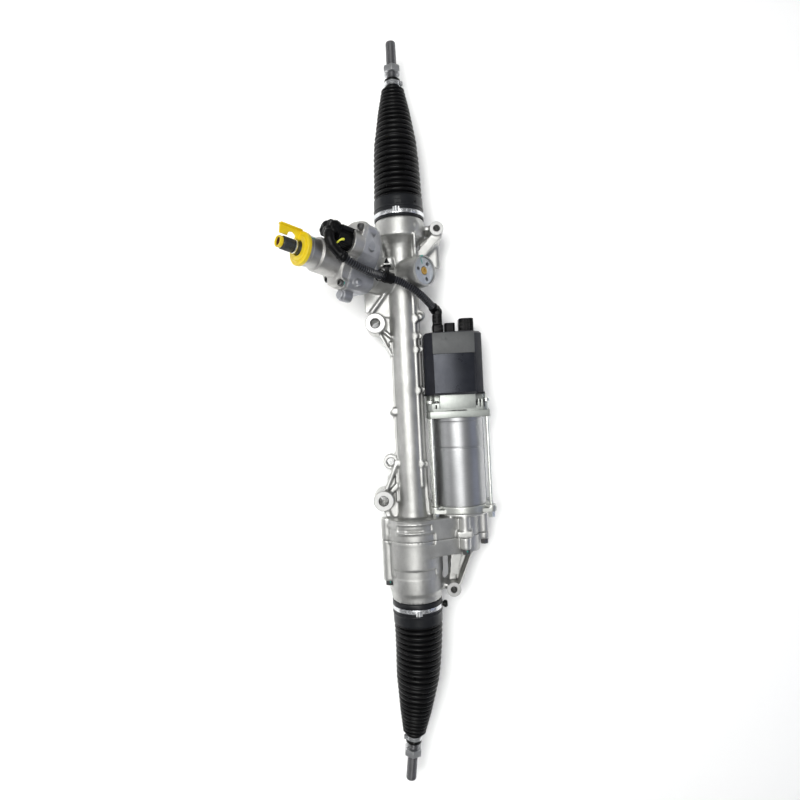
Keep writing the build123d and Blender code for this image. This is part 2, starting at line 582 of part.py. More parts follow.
ROD_AT = [(MY + 38.2, MZ + 23), (MY - 38.2, MZ + 23), (MY + 38.2, MZ - 23), (MY - 38.2, MZ - 23)]
with BuildPart() as motor_front_flange:
    disc(yz(-142.5), 38.5, 9.5, MC)
    with BuildSketch(yz(-142.5)) as s:
        with Locations(*ROD_AT):
            Circle(7)
        make_hull()
    extrude(s.sketch, amount=5.5)
    with BuildSketch(yz(-142.5)) as s:
        with Locations(*ROD_AT):
            Circle(7)
    extrude(s.sketch, amount=9.5)
    disc(yz(-149), 30.0, 7, MC)
    disc(yz(-138), 31.6, 6, MC, Mode.SUBTRACT)
    disc(yz(-150), 9, 14, MC, Mode.SUBTRACT)
    with BuildSketch(yz(-144)) as s:
        with Locations(*ROD_AT):
            Circle(3.1)
    extrude(s.sketch, amount=14, mode=Mode.SUBTRACT)
save(motor_front_flange, "motor_front_flange")

with BuildPart() as motor_end_bracket:
    with BuildSketch(yz(-12.5)) as s:
        with Locations(MC):
            RectangleRounded(86, 62, 10)
    extrude(s.sketch, amount=9)
    with BuildSketch(yz(-3.5)) as s:
        with Locations(MC):
            RectangleRounded(83, 60, 9)
    extrude(s.sketch, amount=1.5)
    with BuildSketch(yz(-2)) as s:
        with Locations((MY + 1.5, MZ)):
            RectangleRounded(82, 64, 8)
    extrude(s.sketch, amount=21)
    # stepped-back corners for the screw heads, centre panel left standing
    for y in (-37.5, 37.5):
        with BuildSketch(yz(8)) as s:
            with Locations((MY + 1.5 + y, MZ + 32)):
                Rectangle(26, 16)
        extrude(s.sketch, amount=12, mode=Mode.SUBTRACT)
    disc(yz(-13), 31.6, 40, MC, Mode.SUBTRACT)
    with BuildSketch(yz(-14)) as s:
        with Locations(*ROD_AT):
            Circle(3.1)
    extrude(s.sketch, amount=40, mode=Mode.SUBTRACT)
    with BuildSketch(yz(8)) as s:
        with Locations(*ROD_AT):
            Circle(5.6)
    extrude(s.sketch, amount=12, mode=Mode.SUBTRACT)
save(motor_end_bracket, "motor_end_bracket")

with BuildPart() as motor_through_rods:
    with BuildSketch(yz(-146)) as s:
        with Locations(*ROD_AT):
            Circle(2.4)
    extrude(s.sketch, amount=154.5)
    for y, z in ROD_AT:
        with BuildSketch(yz(8)) as s:
            with Locations((y, z)):
                RegularPolygon(4.2, 6, major_radius=False)
        extrude(s.sketch, amount=5)
        disc(yz(-146.5), 4.8, 4, (y, z))
save(motor_through_rods, "motor_through_rods")

with BuildPart() as stator:
    ring(yz(-120), 31.8, 21, 96, MC)
    with BuildSketch(yz(-121)) as s:
        with Locations(MC):
            with PolarLocations(22, 12):
                Rectangle(5, 2.2)
    extrude(s.sketch, amount=98, mode=Mode.SUBTRACT)
save(stator, "stator")

with BuildPart() as rotor_shaft:
    turned(MSIDE, [(-193, 0), (-193, 6), (-126, 6), (-126, 8), (-116, 8), (-116, 19.5), (-26, 19.5), (-26, 8),
                   (2, 8), (2, 0)], MOTOR)
save(rotor_shaft, "rotor_shaft")

with BuildPart() as rotor_bearings:
    ring(yz(-137), 17.0, 6.05, 8, MC)
    ring(yz(-13), 17.0, 8.05, 9, MC)
    ring(yz(-137), 31.6, 17, 3, MC)
    ring(yz(-13), 31.6, 17, 3, MC)
save(rotor_bearings, "rotor_bearings")

with BuildPart() as motor_pulley:
    ring(yz(PULLEY_X0 + 1), SMALL_PULLEY_R, 6.0, PULLEY_X1 - PULLEY_X0 - 2, MC)
    with BuildSketch(yz(PULLEY_X0 + 1)) as s:
        with Locations(MC):
            with PolarLocations(SMALL_PULLEY_R, 22):
                Rectangle(1.6, 1.5)
    extrude(s.sketch, amount=PULLEY_X1 - PULLEY_X0 - 2, mode=Mode.SUBTRACT)
save(motor_pulley, "motor_pulley")

# ---------------------------------------------------------------- control unit
EC = (MY + 4.1, MZ)


def octagon(plane, w, h, c, grow=0.0):
    w2, h2 = w / 2 + grow, h / 2 + grow
    y0, z0 = EC
    pts = [(y0 - w2, z0 - h2 + c), (y0 - w2, z0 + h2 - c), (y0 - w2 + c, z0 + h2), (y0 + w2 - c, z0 + h2),
           (y0 + w2, z0 + h2 - c), (y0 + w2, z0 - h2 + c), (y0 + w2 - c, z0 - h2), (y0 - w2 + c, z0 - h2)]
    with BuildSketch(plane) as s:
        with BuildLine():
            Polyline(*pts, close=True)
        make_face()
    return s.sketch


with BuildPart() as ecu_housing:
    extrude(octagon(yz(ECU_X0), 79.5, 70, 14), amount=ECU_X1 - ECU_X0)
    chamfer(faces().sort_by(Axis.X)[-1].edges(), 3)
    # step of the front face: raised panel at the connector end
    with BuildSketch(yz(ECU_X0 - 1)) as s:
        with Locations((EC[0], EC[1] + 34.5)):
            Rectangle(52, 3.2)
    extrude(s.sketch, amount=54, mode=Mode.SUBTRACT)
    extrude(octagon(yz(19), 82, 66, 12), amount=2.5)
    extrude(octagon(yz(18.9), 71, 61, 12), amount=76, mode=Mode.SUBTRACT)
    for c in ((-46.2, -4), (-62, -4), (-85.5, 2)):
        disc(yz(90), 4.5, 20, c, Mode.SUBTRACT)
save(ecu_housing, "ecu_housing")

with BuildPart() as ecu_board:
    with BuildSketch(yz(60)) as s:
        with Locations(EC):
            RectangleRounded(62, 52, 6)
    extrude(s.sketch, amount=2)
    for dy, dz, w, h, d in ((-14, 8, 14, 14, 4), (12, -6, 10, 16, 3), (14, 14, 12, 8, 8), (-10, -14, 20, 8, 10)):
        with BuildSketch(yz(62)) as s:
            with Locations((EC[0] + dy, EC[1] + dz)):
                Rectangle(w, h)
        extrude(s.sketch, amount=d)
    for dy, dz in ((-31, 0), (31, 0)):
        with BuildSketch(yz(20)) as s:
            with Locations((EC[0] + dy * 0.86, EC[1])):
                Rectangle(4, 8)
        extrude(s.sketch, amount=40)
save(ecu_board, "ecu_board")

with BuildPart() as ecu_power_socket:
    # oval shroud with a hollow mouth and blades inside
    with BuildSketch(yz(ECU_X1)) as s:
        with Locations((-85.5, 2)):
            RectangleRounded(20, 26, 6)
    extrude(s.sketch, amount=18.5)
    with BuildSketch(yz(ECU_X1 + 4)) as s:
        with Locations((-85.5, 2)):
            RectangleRounded(15.5, 21.5, 4.5)
    extrude(s.sketch, amount=16, mode=Mode.SUBTRACT)
    with BuildSketch(yz(ECU_X1 + 2)) as s:
        with Locations((-85.5, -4), (-85.5, 8)):
            Rectangle(6, 1.2)
    extrude(s.sketch, amount=11)
save(ecu_power_socket, "ecu_power_socket")

with BuildPart() as ecu_signal_socket:
    with BuildSketch(yz(ECU_X1)) as s:
        with Locations((-63, 0)):
            RectangleRounded(14, 20, 4)
    extrude(s.sketch, amount=13.5)
    with BuildSketch(yz(ECU_X1 + 3.5)) as s:
        with Locations((-63, 0)):
            RectangleRounded(10.4, 16.4, 2.6)
    extrude(s.sketch, amount=12, mode=Mode.SUBTRACT)
    with BuildSketch(yz(ECU_X1 + 2)) as s:
        with Locations((-61, -4), (-61, 0), (-61, 4), (-65, -4), (-65, 0), (-65, 4)):
            Rectangle(0.8, 0.8)
    extrude(s.sketch, amount=8)
save(ecu_signal_socket, "ecu_signal_socket")

with BuildPart() as bracket_screws:
    for y in (-28.5, 28.5):
        disc(yz(8), 3.0, 3.2, (MY + 1.5 + y, MZ + 28.2))
        disc(yz(11.2), 1.7, 3.0, (MY + 1.5 + y, MZ + 28.2))
save(bracket_screws, "bracket_screws")

# ---------------------------------------------------------------- harness
def wp(t, x, y):
    v = A0 + P * t + XD * x - U * y
    return (v.X, v.Y, v.Z)


def rr(x, y, z):
    return (x, RY + y, RZ + z)


CONDUIT_R = 5.0
route = [wp(137.8, 17, -29.7), wp(138.8, 9.8, -31), wp(131.2, -0.7, -33.7), wp(115, -9, -36.3), wp(98, -14, -39),
         wp(79, -15.5, -39.5), rr(178.6, 31.5, 57.0), rr(177.0, 19.0, 45.5), rr(172.6, 1.5, 37.5),
         rr(162.2, -15.5, 31.0), rr(154.0, -27.5, 21.5), rr(146.5, -36, 11.0), rr(140.5, -43.0, 1.5)]
LEAD_A = Vector(*route[0])
LEAD_DIR_A = (LEAD_A - Vector(*route[1])).normalized() * -1
LEAD_B = Vector(*route[-1])
LEAD_DIR_B = (LEAD_B - Vector(*route[-2])).normalized()

with BuildPart() as sensor_plug:
    disc(pt(98.4), 12.3, 9, CUP)
    disc(pt(102), 10, 27.5, (17.7, -30))
    with BuildSketch(pt(125)) as s:
        with Locations((27, -24)):
            RectangleRounded(18, 26, 7)
    extrude(s.sketch, amount=14)
    # cable exit, on the first run of the conduit
    disc(Plane(origin=LEAD_A - LEAD_DIR_A * 9, z_dir=LEAD_DIR_A), 5.5, 9)
save(sensor_plug, "sensor_plug")

with BuildPart() as ecu_harness_plug:
    with BuildSketch(yz(ECU_X1)) as s:
        with Locations((-46.6, -3)):
            RectangleRounded(15, 20, 3)
    extrude(s.sketch, amount=12)
    with BuildSketch(yz(ECU_X1 + 12)) as s:
        with Locations((-46.6, -3)):
            RectangleRounded(13, 17, 3)
    extrude(s.sketch, amount=15)
    # slanted boot that meets the conduit's last run
    disc(Plane(origin=LEAD_B, z_dir=LEAD_DIR_B), 6.3, 11)
save(ecu_harness_plug, "ecu_harness_plug")

def plug_strap(t, depth, a0, a1):
    """Part of the strap round the plug body, from angle a0 to a1 in degrees."""
    c = (17.7, -30)
    with BuildSketch(pt(t)) as s:
        with Locations(c):
            Circle(12.0)
            Circle(10.1, mode=Mode.SUBTRACT)
        with BuildLine():
            Polyline(c, *[(c[0] + 30 * math.cos(math.radians(a)), c[1] + 30 * math.sin(math.radians(a)))
                          for a in (a0, (a0 + a1) / 2, a1)], close=True)
        make_face(mode=Mode.INTERSECT)
    extrude(s.sketch, amount=depth)


with BuildPart() as sensor_plug_lock:
    plug_strap(126.6, 2.6, 176, 245)
    plug_strap(120, 9.2, 230, 248)
save(sensor_plug_lock, "sensor_plug_lock")



def corner_radii(points, share=0.45):
    out = []
    for i in range(1, len(points) - 1):
        a = Vector(*points[i]) - Vector(*points[i - 1])
        b = Vector(*points[i + 1]) - Vector(*points[i])
        turn = math.radians(a.get_angle(b))
        out.append(share * min(a.length, b.length) / math.tan(turn / 2))
    return out


radii = corner_radii(route)
print("conduit arc radii", [round(r, 1) for r in radii])
with BuildLine() as conduit_line:
    FilletPolyline(*route, radius=radii)
conduit_len = sum(ed.length for ed in conduit_line.edges())
print("conduit length", round(conduit_len, 1))
with BuildPart() as harness_conduit:
    first = Vector(*route[0])
    second = Vector(*route[1])
    with BuildSketch(Plane(origin=first, z_dir=(second - first).normalized())) as s:
        Circle(CONDUIT_R)
    sweep(s.sketch, path=conduit_line.line)
print("conduit volume ratio", round(harness_conduit.part.volume / (math.pi * CONDUIT_R ** 2 * conduit_len), 4))
save(harness_conduit, "harness_conduit")

with BuildPart() as harness_clip:
    d1 = (Vector(*route[7]) - Vector(*route[6])).normalized()
    d2 = (Vector(*route[8]) - Vector(*route[7])).normalized()
    d = (d1 + d2).normalized()
    hold = Vector(*route[7]) + (d2 - d1).normalized() * 0.85      # middle of the held bend
    cpl = Plane(origin=hold - d * 6.5, z_dir=d)
    disc(cpl, 7.4, 13)
    with BuildSketch(Plane(origin=rr(177.5, 19.5, 45), x_dir=(0, 1, 0), z_dir=(1, 0, 0))) as s:
        Rectangle(6, 6)
    extrude(s.sketch, amount=14.5)
    disc(Plane(origin=rr(190.6, 19.5, 45), x_dir=(0, 1, 0), z_dir=(1, 0, 0)), 5.4, 1.8)
    turned(Plane(origin=rr(192.4, 19.5, 45), x_dir=(1, 0, 0), z_dir=(0, -1, 0)),
           [(0, 0), (0, 2.2), (3.2, 2.2), (3.2, 3.6), (10, 1.0), (10, 0)], Axis(rr(192.4, 19.5, 45), (1, 0, 0)))
    disc(Plane(origin=hold - d * 7.5, z_dir=d), 5.8, 15, mode=Mode.SUBTRACT)
save(harness_clip, "harness_clip")

# ---------------------------------------------------------------- tie rods
cd, sd = math.cos(math.radians(DROOP)), math.sin(math.radians(DROOP))
DL = Vector(1, 0, 0)
DR = Vector(-cd, sd, 0)
BL = Vector(BALL_X, RY, RZ)
BR = Vector(-BALL_X, RY, RZ)
ROD_LEN = ROD_END - BALL_X


def rod_parts(side, centre, d, inward):
    """Ball housing on the rack end, seat liner, tie rod with its ball, and the lock nut."""
    housing_plane = Plane(origin=centre + inward * (BALL_X - RACK_HALF), x_dir=(0, 1, 0), z_dir=-inward)
    ax = Axis(centre, inward * -1)
    sp = Plane(origin=centre, x_dir=-inward, z_dir=(0, -1, 0) if inward.X < 0 else (0, 1, 0))
    def lathe(plane, axis, make):
        with BuildSketch(plane) as sk:
            with BuildLine():
                make()
            make_face()
        return revolve(sk.sketch, axis=axis)

    def housing_line():
        ThreePointArc((-17, 0), (0, 17), (9.4, 14.164))
        Polyline((9.4, 14.164), (9.4, 15.4), (7, 18.0), (2, 18.8), (-12, 18.8), (-14, 19.6), (-22, 19.6), (-25, 17),
                 (-25, 0), (-17, 0))

    def seat_line():
        # a small grease hole stays open at the pole
        ThreePointArc((-16.8408, 1.417), (0, 16.9), (8.6, 14.5481))
        Line((8.6, 14.5481), (8.6, 12.4117))
        ThreePointArc((8.6, 12.4117), (0, 15.1), (-15.0333, 1.417))
        Line((-15.0333, 1.417), (-16.8408, 1.417))

    def rod_line():
        ThreePointArc((-15, 0), (0, 15), (13.371, 6.8))
        Polyline((13.371, 6.8), (26, 6.8), (34, 8.0), (ROD_LEN - 52, 8.0), (ROD_LEN - 50, 6.5), (ROD_LEN - 33, 6.5),
                 (ROD_LEN - 33, 7.0), (ROD_LEN - 1.5, 7.0), (ROD_LEN, 5.8), (ROD_LEN, 0), (-15, 0))

    with BuildPart() as ball_housing:
        lathe(sp, ax, housing_line)
        with BuildSketch(housing_plane) as s:
            RegularPolygon(18.2, 6, major_radius=False)
        extrude(s.sketch, amount=7, mode=Mode.ADD)
    with BuildPart() as seat:
        lathe(sp, ax, seat_line)
    with BuildPart() as rod:
        lathe(Plane(origin=centre, x_dir=d, z_dir=Vector(0, 0, 1)), Axis(centre, d), rod_line)
    with BuildPart() as nut:
        with BuildSketch(Plane(origin=centre + d * (ROD_LEN - 44), x_dir=(0, 0, 1), z_dir=d)) as s:
            RegularPolygon(11.0, 6, major_radius=False)
            Circle(6.5, mode=Mode.SUBTRACT)
        extrude(s.sketch, amount=9)
    save(ball_housing, f"ball_housing_{side}")
    save(seat, f"ball_seat_{side}")
    save(rod, f"tie_rod_{side}")
    save(nut, f"lock_nut_{side}")


rod_parts("left", BL, DL, Vector(-1, 0, 0))
rod_parts("right", BR, DR, Vector(1, 0, 0))

# ---------------------------------------------------------------- bellows
# Plain closed shells with the outer shape of the convoluted bellows.
with BuildPart() as bellows_left:
    turned(SIDE, [(262.6, 31.7), (262.6, 34.2), (290, 34.2), (298, 33.6), (350, 31.2), (372, 29.6), (417, 22.0), (446, 16.0),
                  (449, 10.2), (462, 10.2), (462, 8.05), (446.5, 8.05), (444, 14.6), (414, 20.4), (371, 27.8),
                  (350, 29.2), (298, 31.4), (285, 31.7)], RACK)
save(bellows_left, "bellows_left")

CR = Vector(-BALL_X, RY, RZ)
BISECT = (Vector(-1, 0, 0) + DR).normalized()


def bent_shell(stations, mode=Mode.ADD):
    """Ruled loft through circles; a station is (distance from the ball centre, radius)."""
    sketches = []
    for a, r in stations:
        if a < 0:
            plane = Plane(origin=CR + Vector(-1, 0, 0) * a, x_dir=(0, 0, 1), z_dir=(-1, 0, 0))
        elif a == 0:
            plane = Plane(origin=CR, x_dir=(0, 0, 1), z_dir=BISECT)
        else:
            plane = Plane(origin=CR + DR * a, x_dir=(0, 0, 1), z_dir=DR)
        with BuildSketch(plane) as s:
            Circle(r)
        sketches.append(s.sketch)
    return loft(sketches, ruled=True, mode=mode)


with BuildPart() as bellows_right:
    bent_shell([(-76.4, 34.2), (-50, 34.2), (0, 31.9), (36, 29.6), (81, 22.0), (110, 16.0), (113, 10.2), (126, 10.2)])
    bent_shell([(-77.4, 31.7), (-50, 31.7), (0, 29.8), (35, 27.8), (78, 20.4), (108, 14.6), (110.5, 8.05), (127, 8.05)],
               Mode.SUBTRACT)
save(bellows_right, "bellows_right")


def band(name, plane, r, w, t, ear):
    with BuildPart() as clamp:
        ring(plane, r + t, r, w)
        with BuildSketch(plane) as s:
            with Locations(ear):
                Rectangle(9, 4.4)
        extrude(s.sketch, amount=w)
        disc(plane, r, w, mode=Mode.SUBTRACT)
    save(clamp, name)


band("bellows_clamp_left", yz(267.5), 34.2, 8, 0.9, (2.5, 36.4))
band("bellows_clamp_right", yz(-275.5), 34.2, 7, 0.9, (-1.5, 36.4))
band("bellows_small_clamp_left", yz(452), 10.5, 6, 0.7, (0, 11.9))
band("bellows_small_clamp_right", Plane(origin=CR + DR * 116, x_dir=(0, 0, 1), z_dir=DR), 10.5, 6, 0.7, (11.9, 0))

with BuildPart() as vent_knob:
    disc(Plane(origin=(VENT_X, RY - 33, RZ), x_dir=(1, 0, 0), z_dir=(0, -1, 0)), 3.4, 6.5)
    disc(Plane(origin=(VENT_X, RY - 37, RZ), x_dir=(1, 0, 0), z_dir=(0, -1, 0)), 4.9, 3.5)
    disc(Plane(origin=(VENT_X, RY - 40.5, RZ), x_dir=(1, 0, 0), z_dir=(0, -1, 0)), 3.9, 1.2)
    # saddle face on the band
    disc(yz(VENT_X - 8), 35.1, 16, mode=Mode.SUBTRACT)
save(vent_knob, "vent_knob")
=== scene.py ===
import json
import math

import bmesh
import bpy
import numpy as np
from mathutils import Matrix, Vector

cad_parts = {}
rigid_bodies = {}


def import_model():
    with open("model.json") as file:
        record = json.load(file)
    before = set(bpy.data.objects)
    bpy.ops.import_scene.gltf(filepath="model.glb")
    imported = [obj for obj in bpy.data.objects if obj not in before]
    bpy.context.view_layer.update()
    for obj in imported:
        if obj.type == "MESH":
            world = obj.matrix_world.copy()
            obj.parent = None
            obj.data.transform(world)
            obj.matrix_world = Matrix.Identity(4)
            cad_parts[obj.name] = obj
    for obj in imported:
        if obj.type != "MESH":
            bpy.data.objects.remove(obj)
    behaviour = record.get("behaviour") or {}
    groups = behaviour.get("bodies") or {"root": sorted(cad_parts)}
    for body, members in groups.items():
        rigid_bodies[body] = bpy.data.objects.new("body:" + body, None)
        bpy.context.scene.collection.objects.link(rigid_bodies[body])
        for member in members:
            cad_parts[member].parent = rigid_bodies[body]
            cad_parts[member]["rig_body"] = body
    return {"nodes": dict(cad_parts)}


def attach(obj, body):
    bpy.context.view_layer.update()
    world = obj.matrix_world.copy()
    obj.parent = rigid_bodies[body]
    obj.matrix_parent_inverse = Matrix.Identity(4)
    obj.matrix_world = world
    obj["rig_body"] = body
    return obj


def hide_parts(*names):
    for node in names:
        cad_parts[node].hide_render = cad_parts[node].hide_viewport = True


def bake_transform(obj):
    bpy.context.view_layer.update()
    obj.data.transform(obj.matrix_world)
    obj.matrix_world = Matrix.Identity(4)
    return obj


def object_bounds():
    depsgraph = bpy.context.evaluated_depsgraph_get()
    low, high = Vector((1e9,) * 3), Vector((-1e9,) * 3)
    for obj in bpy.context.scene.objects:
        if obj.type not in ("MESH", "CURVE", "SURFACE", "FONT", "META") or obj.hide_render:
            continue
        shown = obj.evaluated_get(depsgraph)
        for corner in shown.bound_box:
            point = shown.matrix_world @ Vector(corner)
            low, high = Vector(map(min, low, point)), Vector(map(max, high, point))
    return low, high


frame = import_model()
CAD_BOX = [list(v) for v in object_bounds()]
NODES = frame["nodes"]
BODY_OF = {n: o["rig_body"] for n, o in NODES.items()}
for o in NODES.values():
    for m in list(o.modifiers):
        o.modifiers.remove(m)

# ------------------------------------------------------------------ layout, in millimetres
RY, RZ = -39.5, 22.0
MY, MZ = -69.1, -8.0
EY, EZ = -65.0, -8.0
E44, P8 = math.radians(44), math.radians(8)
U = Vector((0, -math.sin(E44), math.cos(E44)))
P = Vector((math.sin(P8), math.cos(P8) * math.cos(E44), math.cos(P8) * math.sin(E44)))
XD = Vector((math.cos(P8), -math.sin(P8) * math.cos(E44), -math.sin(P8) * math.sin(E44)))
A0 = Vector((183.0, RY, RZ)) - U * 15
DROOP = math.radians(6.7)
DR = Vector((-math.cos(DROOP), math.sin(DROOP), 0))
BL = Vector((336, RY, RZ))
BR = Vector((-336, RY, RZ))
X3, Y3, Z3 = Vector((1, 0, 0)), Vector((0, 1, 0)), Vector((0, 0, 1))


def rr(x, y, z):
    """Point given from the rack's axis."""
    return Vector((x, RY + y, RZ + z))


def wp(t, x, y):
    """Point given from the pinion's axis: along it, across it, and away from the rack's side."""
    return A0 + P * t + XD * x - U * y


# ------------------------------------------------------------------ materials
def nodes_of(name):
    m = bpy.data.materials.new(name)
    m.use_nodes = True
    nt = m.node_tree
    nt.nodes.clear()
    out = nt.nodes.new("ShaderNodeOutputMaterial")
    b = nt.nodes.new("ShaderNodeBsdfPrincipled")
    nt.links.new(b.outputs[0], out.inputs[0])
    co = nt.nodes.new("ShaderNodeTexCoord").outputs["Object"]
    return m, nt, b, co


def noise_node(nt, co, scale, detail=3.0, rough=0.5, stretch=None, distortion=0.0):
    if stretch is not None:
        mp = nt.nodes.new("ShaderNodeMapping")
        mp.inputs["Scale"].default_value = stretch
        nt.links.new(co, mp.inputs["Vector"])
        co = mp.outputs[0]
    n = nt.nodes.new("ShaderNodeTexNoise")
    n.inputs["Scale"].default_value = scale
    n.inputs["Detail"].default_value = detail
    n.inputs["Roughness"].default_value = rough
    n.inputs["Distortion"].default_value = distortion
    nt.links.new(co, n.inputs["Vector"])
    return n.outputs["Fac"]


def ramp(nt, fac, stops):
    r = nt.nodes.new("ShaderNodeValToRGB")
    els = r.color_ramp.elements
    while len(els) < len(stops):
        els.new(0.5)
    for el, (p, c) in zip(els, stops):
        el.position = p
        el.color = (*c, 1) if len(c) == 3 else c
    nt.links.new(fac, r.inputs[0])
    return r.outputs[0]


def span(nt, fac, a, b, lo=0.3, hi=0.7):
    m = nt.nodes.new("ShaderNodeMapRange")
    m.inputs["From Min"].default_value = lo
    m.inputs["From Max"].default_value = hi
    m.inputs["To Min"].default_value = a
    m.inputs["To Max"].default_value = b
    nt.links.new(fac, m.inputs["Value"])
    return m.outputs[0]


def bumps(nt, b, layers):
    """layers: (height socket, distance in metres, strength), stacked."""
    last = None
    for h, dist, strength in layers:
        n = nt.nodes.new("ShaderNodeBump")
        n.inputs["Distance"].default_value = dist
        n.inputs["Strength"].default_value = strength
        nt.links.new(h, n.inputs["Height"])
        if last is not None:
            nt.links.new(last, n.inputs["Normal"])
        last = n.outputs[0]
    nt.links.new(last, b.inputs["Normal"])


def mixc(nt, fac, a, b, blend="MIX"):
    m = nt.nodes.new("ShaderNodeMix")
    m.data_type = "RGBA"
    m.blend_type = blend
    if hasattr(fac, "is_linked"):
        nt.links.new(fac, m.inputs[0])
    else:
        m.inputs[0].default_value = fac
    for s, v in ((6, a), (7, b)):
        if hasattr(v, "is_linked"):
            nt.links.new(v, m.inputs[s])
        else:
            m.inputs[s].default_value = (*v, 1)
    return m.outputs[2]


def cast_metal(name, lo, hi, r0, r1, metallic=1.0, grain=0.5, edges=0.35, flow=0.4):
    """Die casting: fine sandy grain, cloudy tone, brighter worn edges, and painted shade darkening the concave corners.
    """
    m, nt, b, co = nodes_of(name)
    cloud = noise_node(nt, co, 38, 5, 0.6)
    base = ramp(nt, cloud, [(0.30, lo), (0.72, hi)])
    flowm = noise_node(nt, co, 14, 4, 0.65, stretch=(1.0, 2.6, 2.6), distortion=0.6)
    base = mixc(nt, span(nt, flowm, 0.0, flow, 0.42, 0.75), base, tuple(0.72 * v for v in lo))
    speck = noise_node(nt, co, 620, 2, 0.5)
    base = mixc(nt, span(nt, speck, 0.0, 0.35, 0.60, 0.80), base, tuple(0.55 * v for v in lo))
    geo = nt.nodes.new("ShaderNodeNewGeometry")
    base = mixc(nt, span(nt, geo.outputs["Pointiness"], 0.0, edges, 0.505, 0.56), base, tuple(min(1, 1.35 * v) for v in hi))
    # painted shade: concave corners (low pointiness) are darkened to about a third of the low tone; edges sets both
    # this and the worn-edge lightening
    base = mixc(nt, span(nt, geo.outputs["Pointiness"], edges * 1.3, 0.0, 0.43, 0.495), base, tuple(0.35 * v for v in lo))
    nt.links.new(base, b.inputs["Base Color"])
    b.inputs["Metallic"].default_value = metallic
    nt.links.new(span(nt, noise_node(nt, co, 70, 4), r0, r1), b.inputs["Roughness"])
    sand = noise_node(nt, co, 950, 3, 0.6)
    wave = noise_node(nt, co, 110, 3, 0.5)
    bumps(nt, b, [(wave, 0.0006, 0.22 * grain), (sand, 0.00022, 0.55 * grain)])
    return m


def turned_metal(name, lo, hi, r0, r1, stretch, metallic=1.0, line=0.35):
    """Turned, drawn or milled metal: fine lines along one direction."""
    m, nt, b, co = nodes_of(name)
    lines = noise_node(nt, co, 260, 4, 0.7, stretch=stretch)
    cloud = noise_node(nt, co, 26, 4, 0.6)
    base = ramp(nt, cloud, [(0.3, lo), (0.7, hi)])
    base = mixc(nt, span(nt, lines, 0.0, 0.30, 0.45, 0.75), base, tuple(0.7 * v for v in lo))
    nt.links.new(base, b.inputs["Base Color"])
    b.inputs["Metallic"].default_value = metallic
    nt.links.new(span(nt, lines, r0, r1, 0.3, 0.7), b.inputs["Roughness"])
    bumps(nt, b, [(lines, 0.00012, line)])
    return m


def moulded(name, c0, c1, r0, r1, grain=0.35, scale=1400, sheen=0.0, spec=0.5, dust=0.0):
    m, nt, b, co = nodes_of(name)
    base = ramp(nt, noise_node(nt, co, 60, 4), [(0.3, c0), (0.7, c1)])
    if dust:
        d = noise_node(nt, co, 210, 5, 0.7)
        base = mixc(nt, span(nt, d, 0.0, dust, 0.5, 0.8), base, (0.22, 0.22, 0.21))
    nt.links.new(base, b.inputs["Base Color"])
    nt.links.new(span(nt, noise_node(nt, co, 95, 4), r0, r1), b.inputs["Roughness"])
    b.inputs["Specular IOR Level"].default_value = spec
    if sheen:
        b.inputs["Sheen Weight"].default_value = sheen
    bumps(nt, b, [(noise_node(nt, co, scale, 2), 0.0001, grain)])
    return m


M = {}
M["cast"] = cast_metal("cast_aluminium", (0.50, 0.50, 0.487), (0.66, 0.66, 0.645), 0.42, 0.54, grain=0.7)
# painted shade: the sensor housing is the same cast aluminium, given a darker, bluish copy of it for the shade and blue
# fill it sits in
M["sensor"] = cast_metal("sensor_casting", (0.355, 0.362, 0.385), (0.485, 0.492, 0.52), 0.44, 0.56, metallic=0.85, grain=0.7)
M["cover"] = cast_metal("cover_casting", (0.45, 0.445, 0.435), (0.61, 0.60, 0.58), 0.42, 0.55, grain=0.7)
M["flange"] = cast_metal("flange_casting", (0.48, 0.49, 0.47), (0.66, 0.67, 0.64), 0.38, 0.50)
M["milled"] = turned_metal("milled_faces", (0.43, 0.43, 0.425), (0.55, 0.55, 0.545), 0.34, 0.46, (1, 6, 1), metallic=0.7)
# painted shade: near-black turned metal for the mounting eyes' bore walls, standing for the shade inside the bores
M["bore"] = turned_metal("bore_wall_painted_shade", (0.035, 0.035, 0.036), (0.07, 0.07, 0.07), 0.40, 0.55, (1, 1, 9), metallic=0.8)
M["bracket"] = turned_metal("bright_bracket", (0.33, 0.35, 0.33), (0.47, 0.49, 0.47), 0.34, 0.48, (0.5, 7, 1), metallic=0.9)
M["can"] = turned_metal("drawn_can", (0.385, 0.39, 0.40), (0.485, 0.49, 0.50), 0.36, 0.46, (9, 0.6, 0.6), line=0.18)
M["rod"] = turned_metal("bright_rod", (0.78, 0.80, 0.76), (0.9, 0.92, 0.88), 0.24, 0.34, (0.4, 5, 5))
M["zinc"] = turned_metal("zinc_plate", (0.62, 0.63, 0.64), (0.80, 0.81, 0.82), 0.26, 0.40, (1, 1, 1))
M["clampband"] = turned_metal("clamp_band", (0.66, 0.67, 0.69), (0.85, 0.86, 0.88), 0.20, 0.34, (7, 1, 1), line=0.25)
M["bolt"] = turned_metal("dark_bolt", (0.10, 0.10, 0.10), (0.20, 0.20, 0.20), 0.32, 0.48, (1, 1, 1), metallic=0.9)
M["steel"] = turned_metal("machined_steel", (0.45, 0.45, 0.46), (0.58, 0.58, 0.60), 0.24, 0.36, (8, 1, 1))
M["shaft"] = turned_metal("input_shaft_steel", (0.055, 0.062, 0.066), (0.11, 0.12, 0.125), 0.30, 0.46, (4, 4, 4), metallic=0.9)
M["phosphate"] = cast_metal("phosphated_steel", (0.15, 0.15, 0.155), (0.24, 0.24, 0.25), 0.40, 0.55, metallic=0.9, edges=0.5)
M["plug"] = turned_metal("yoke_plug_face", (0.50, 0.53, 0.57), (0.60, 0.63, 0.67), 0.36, 0.48, (1, 1, 1), metallic=0.85)
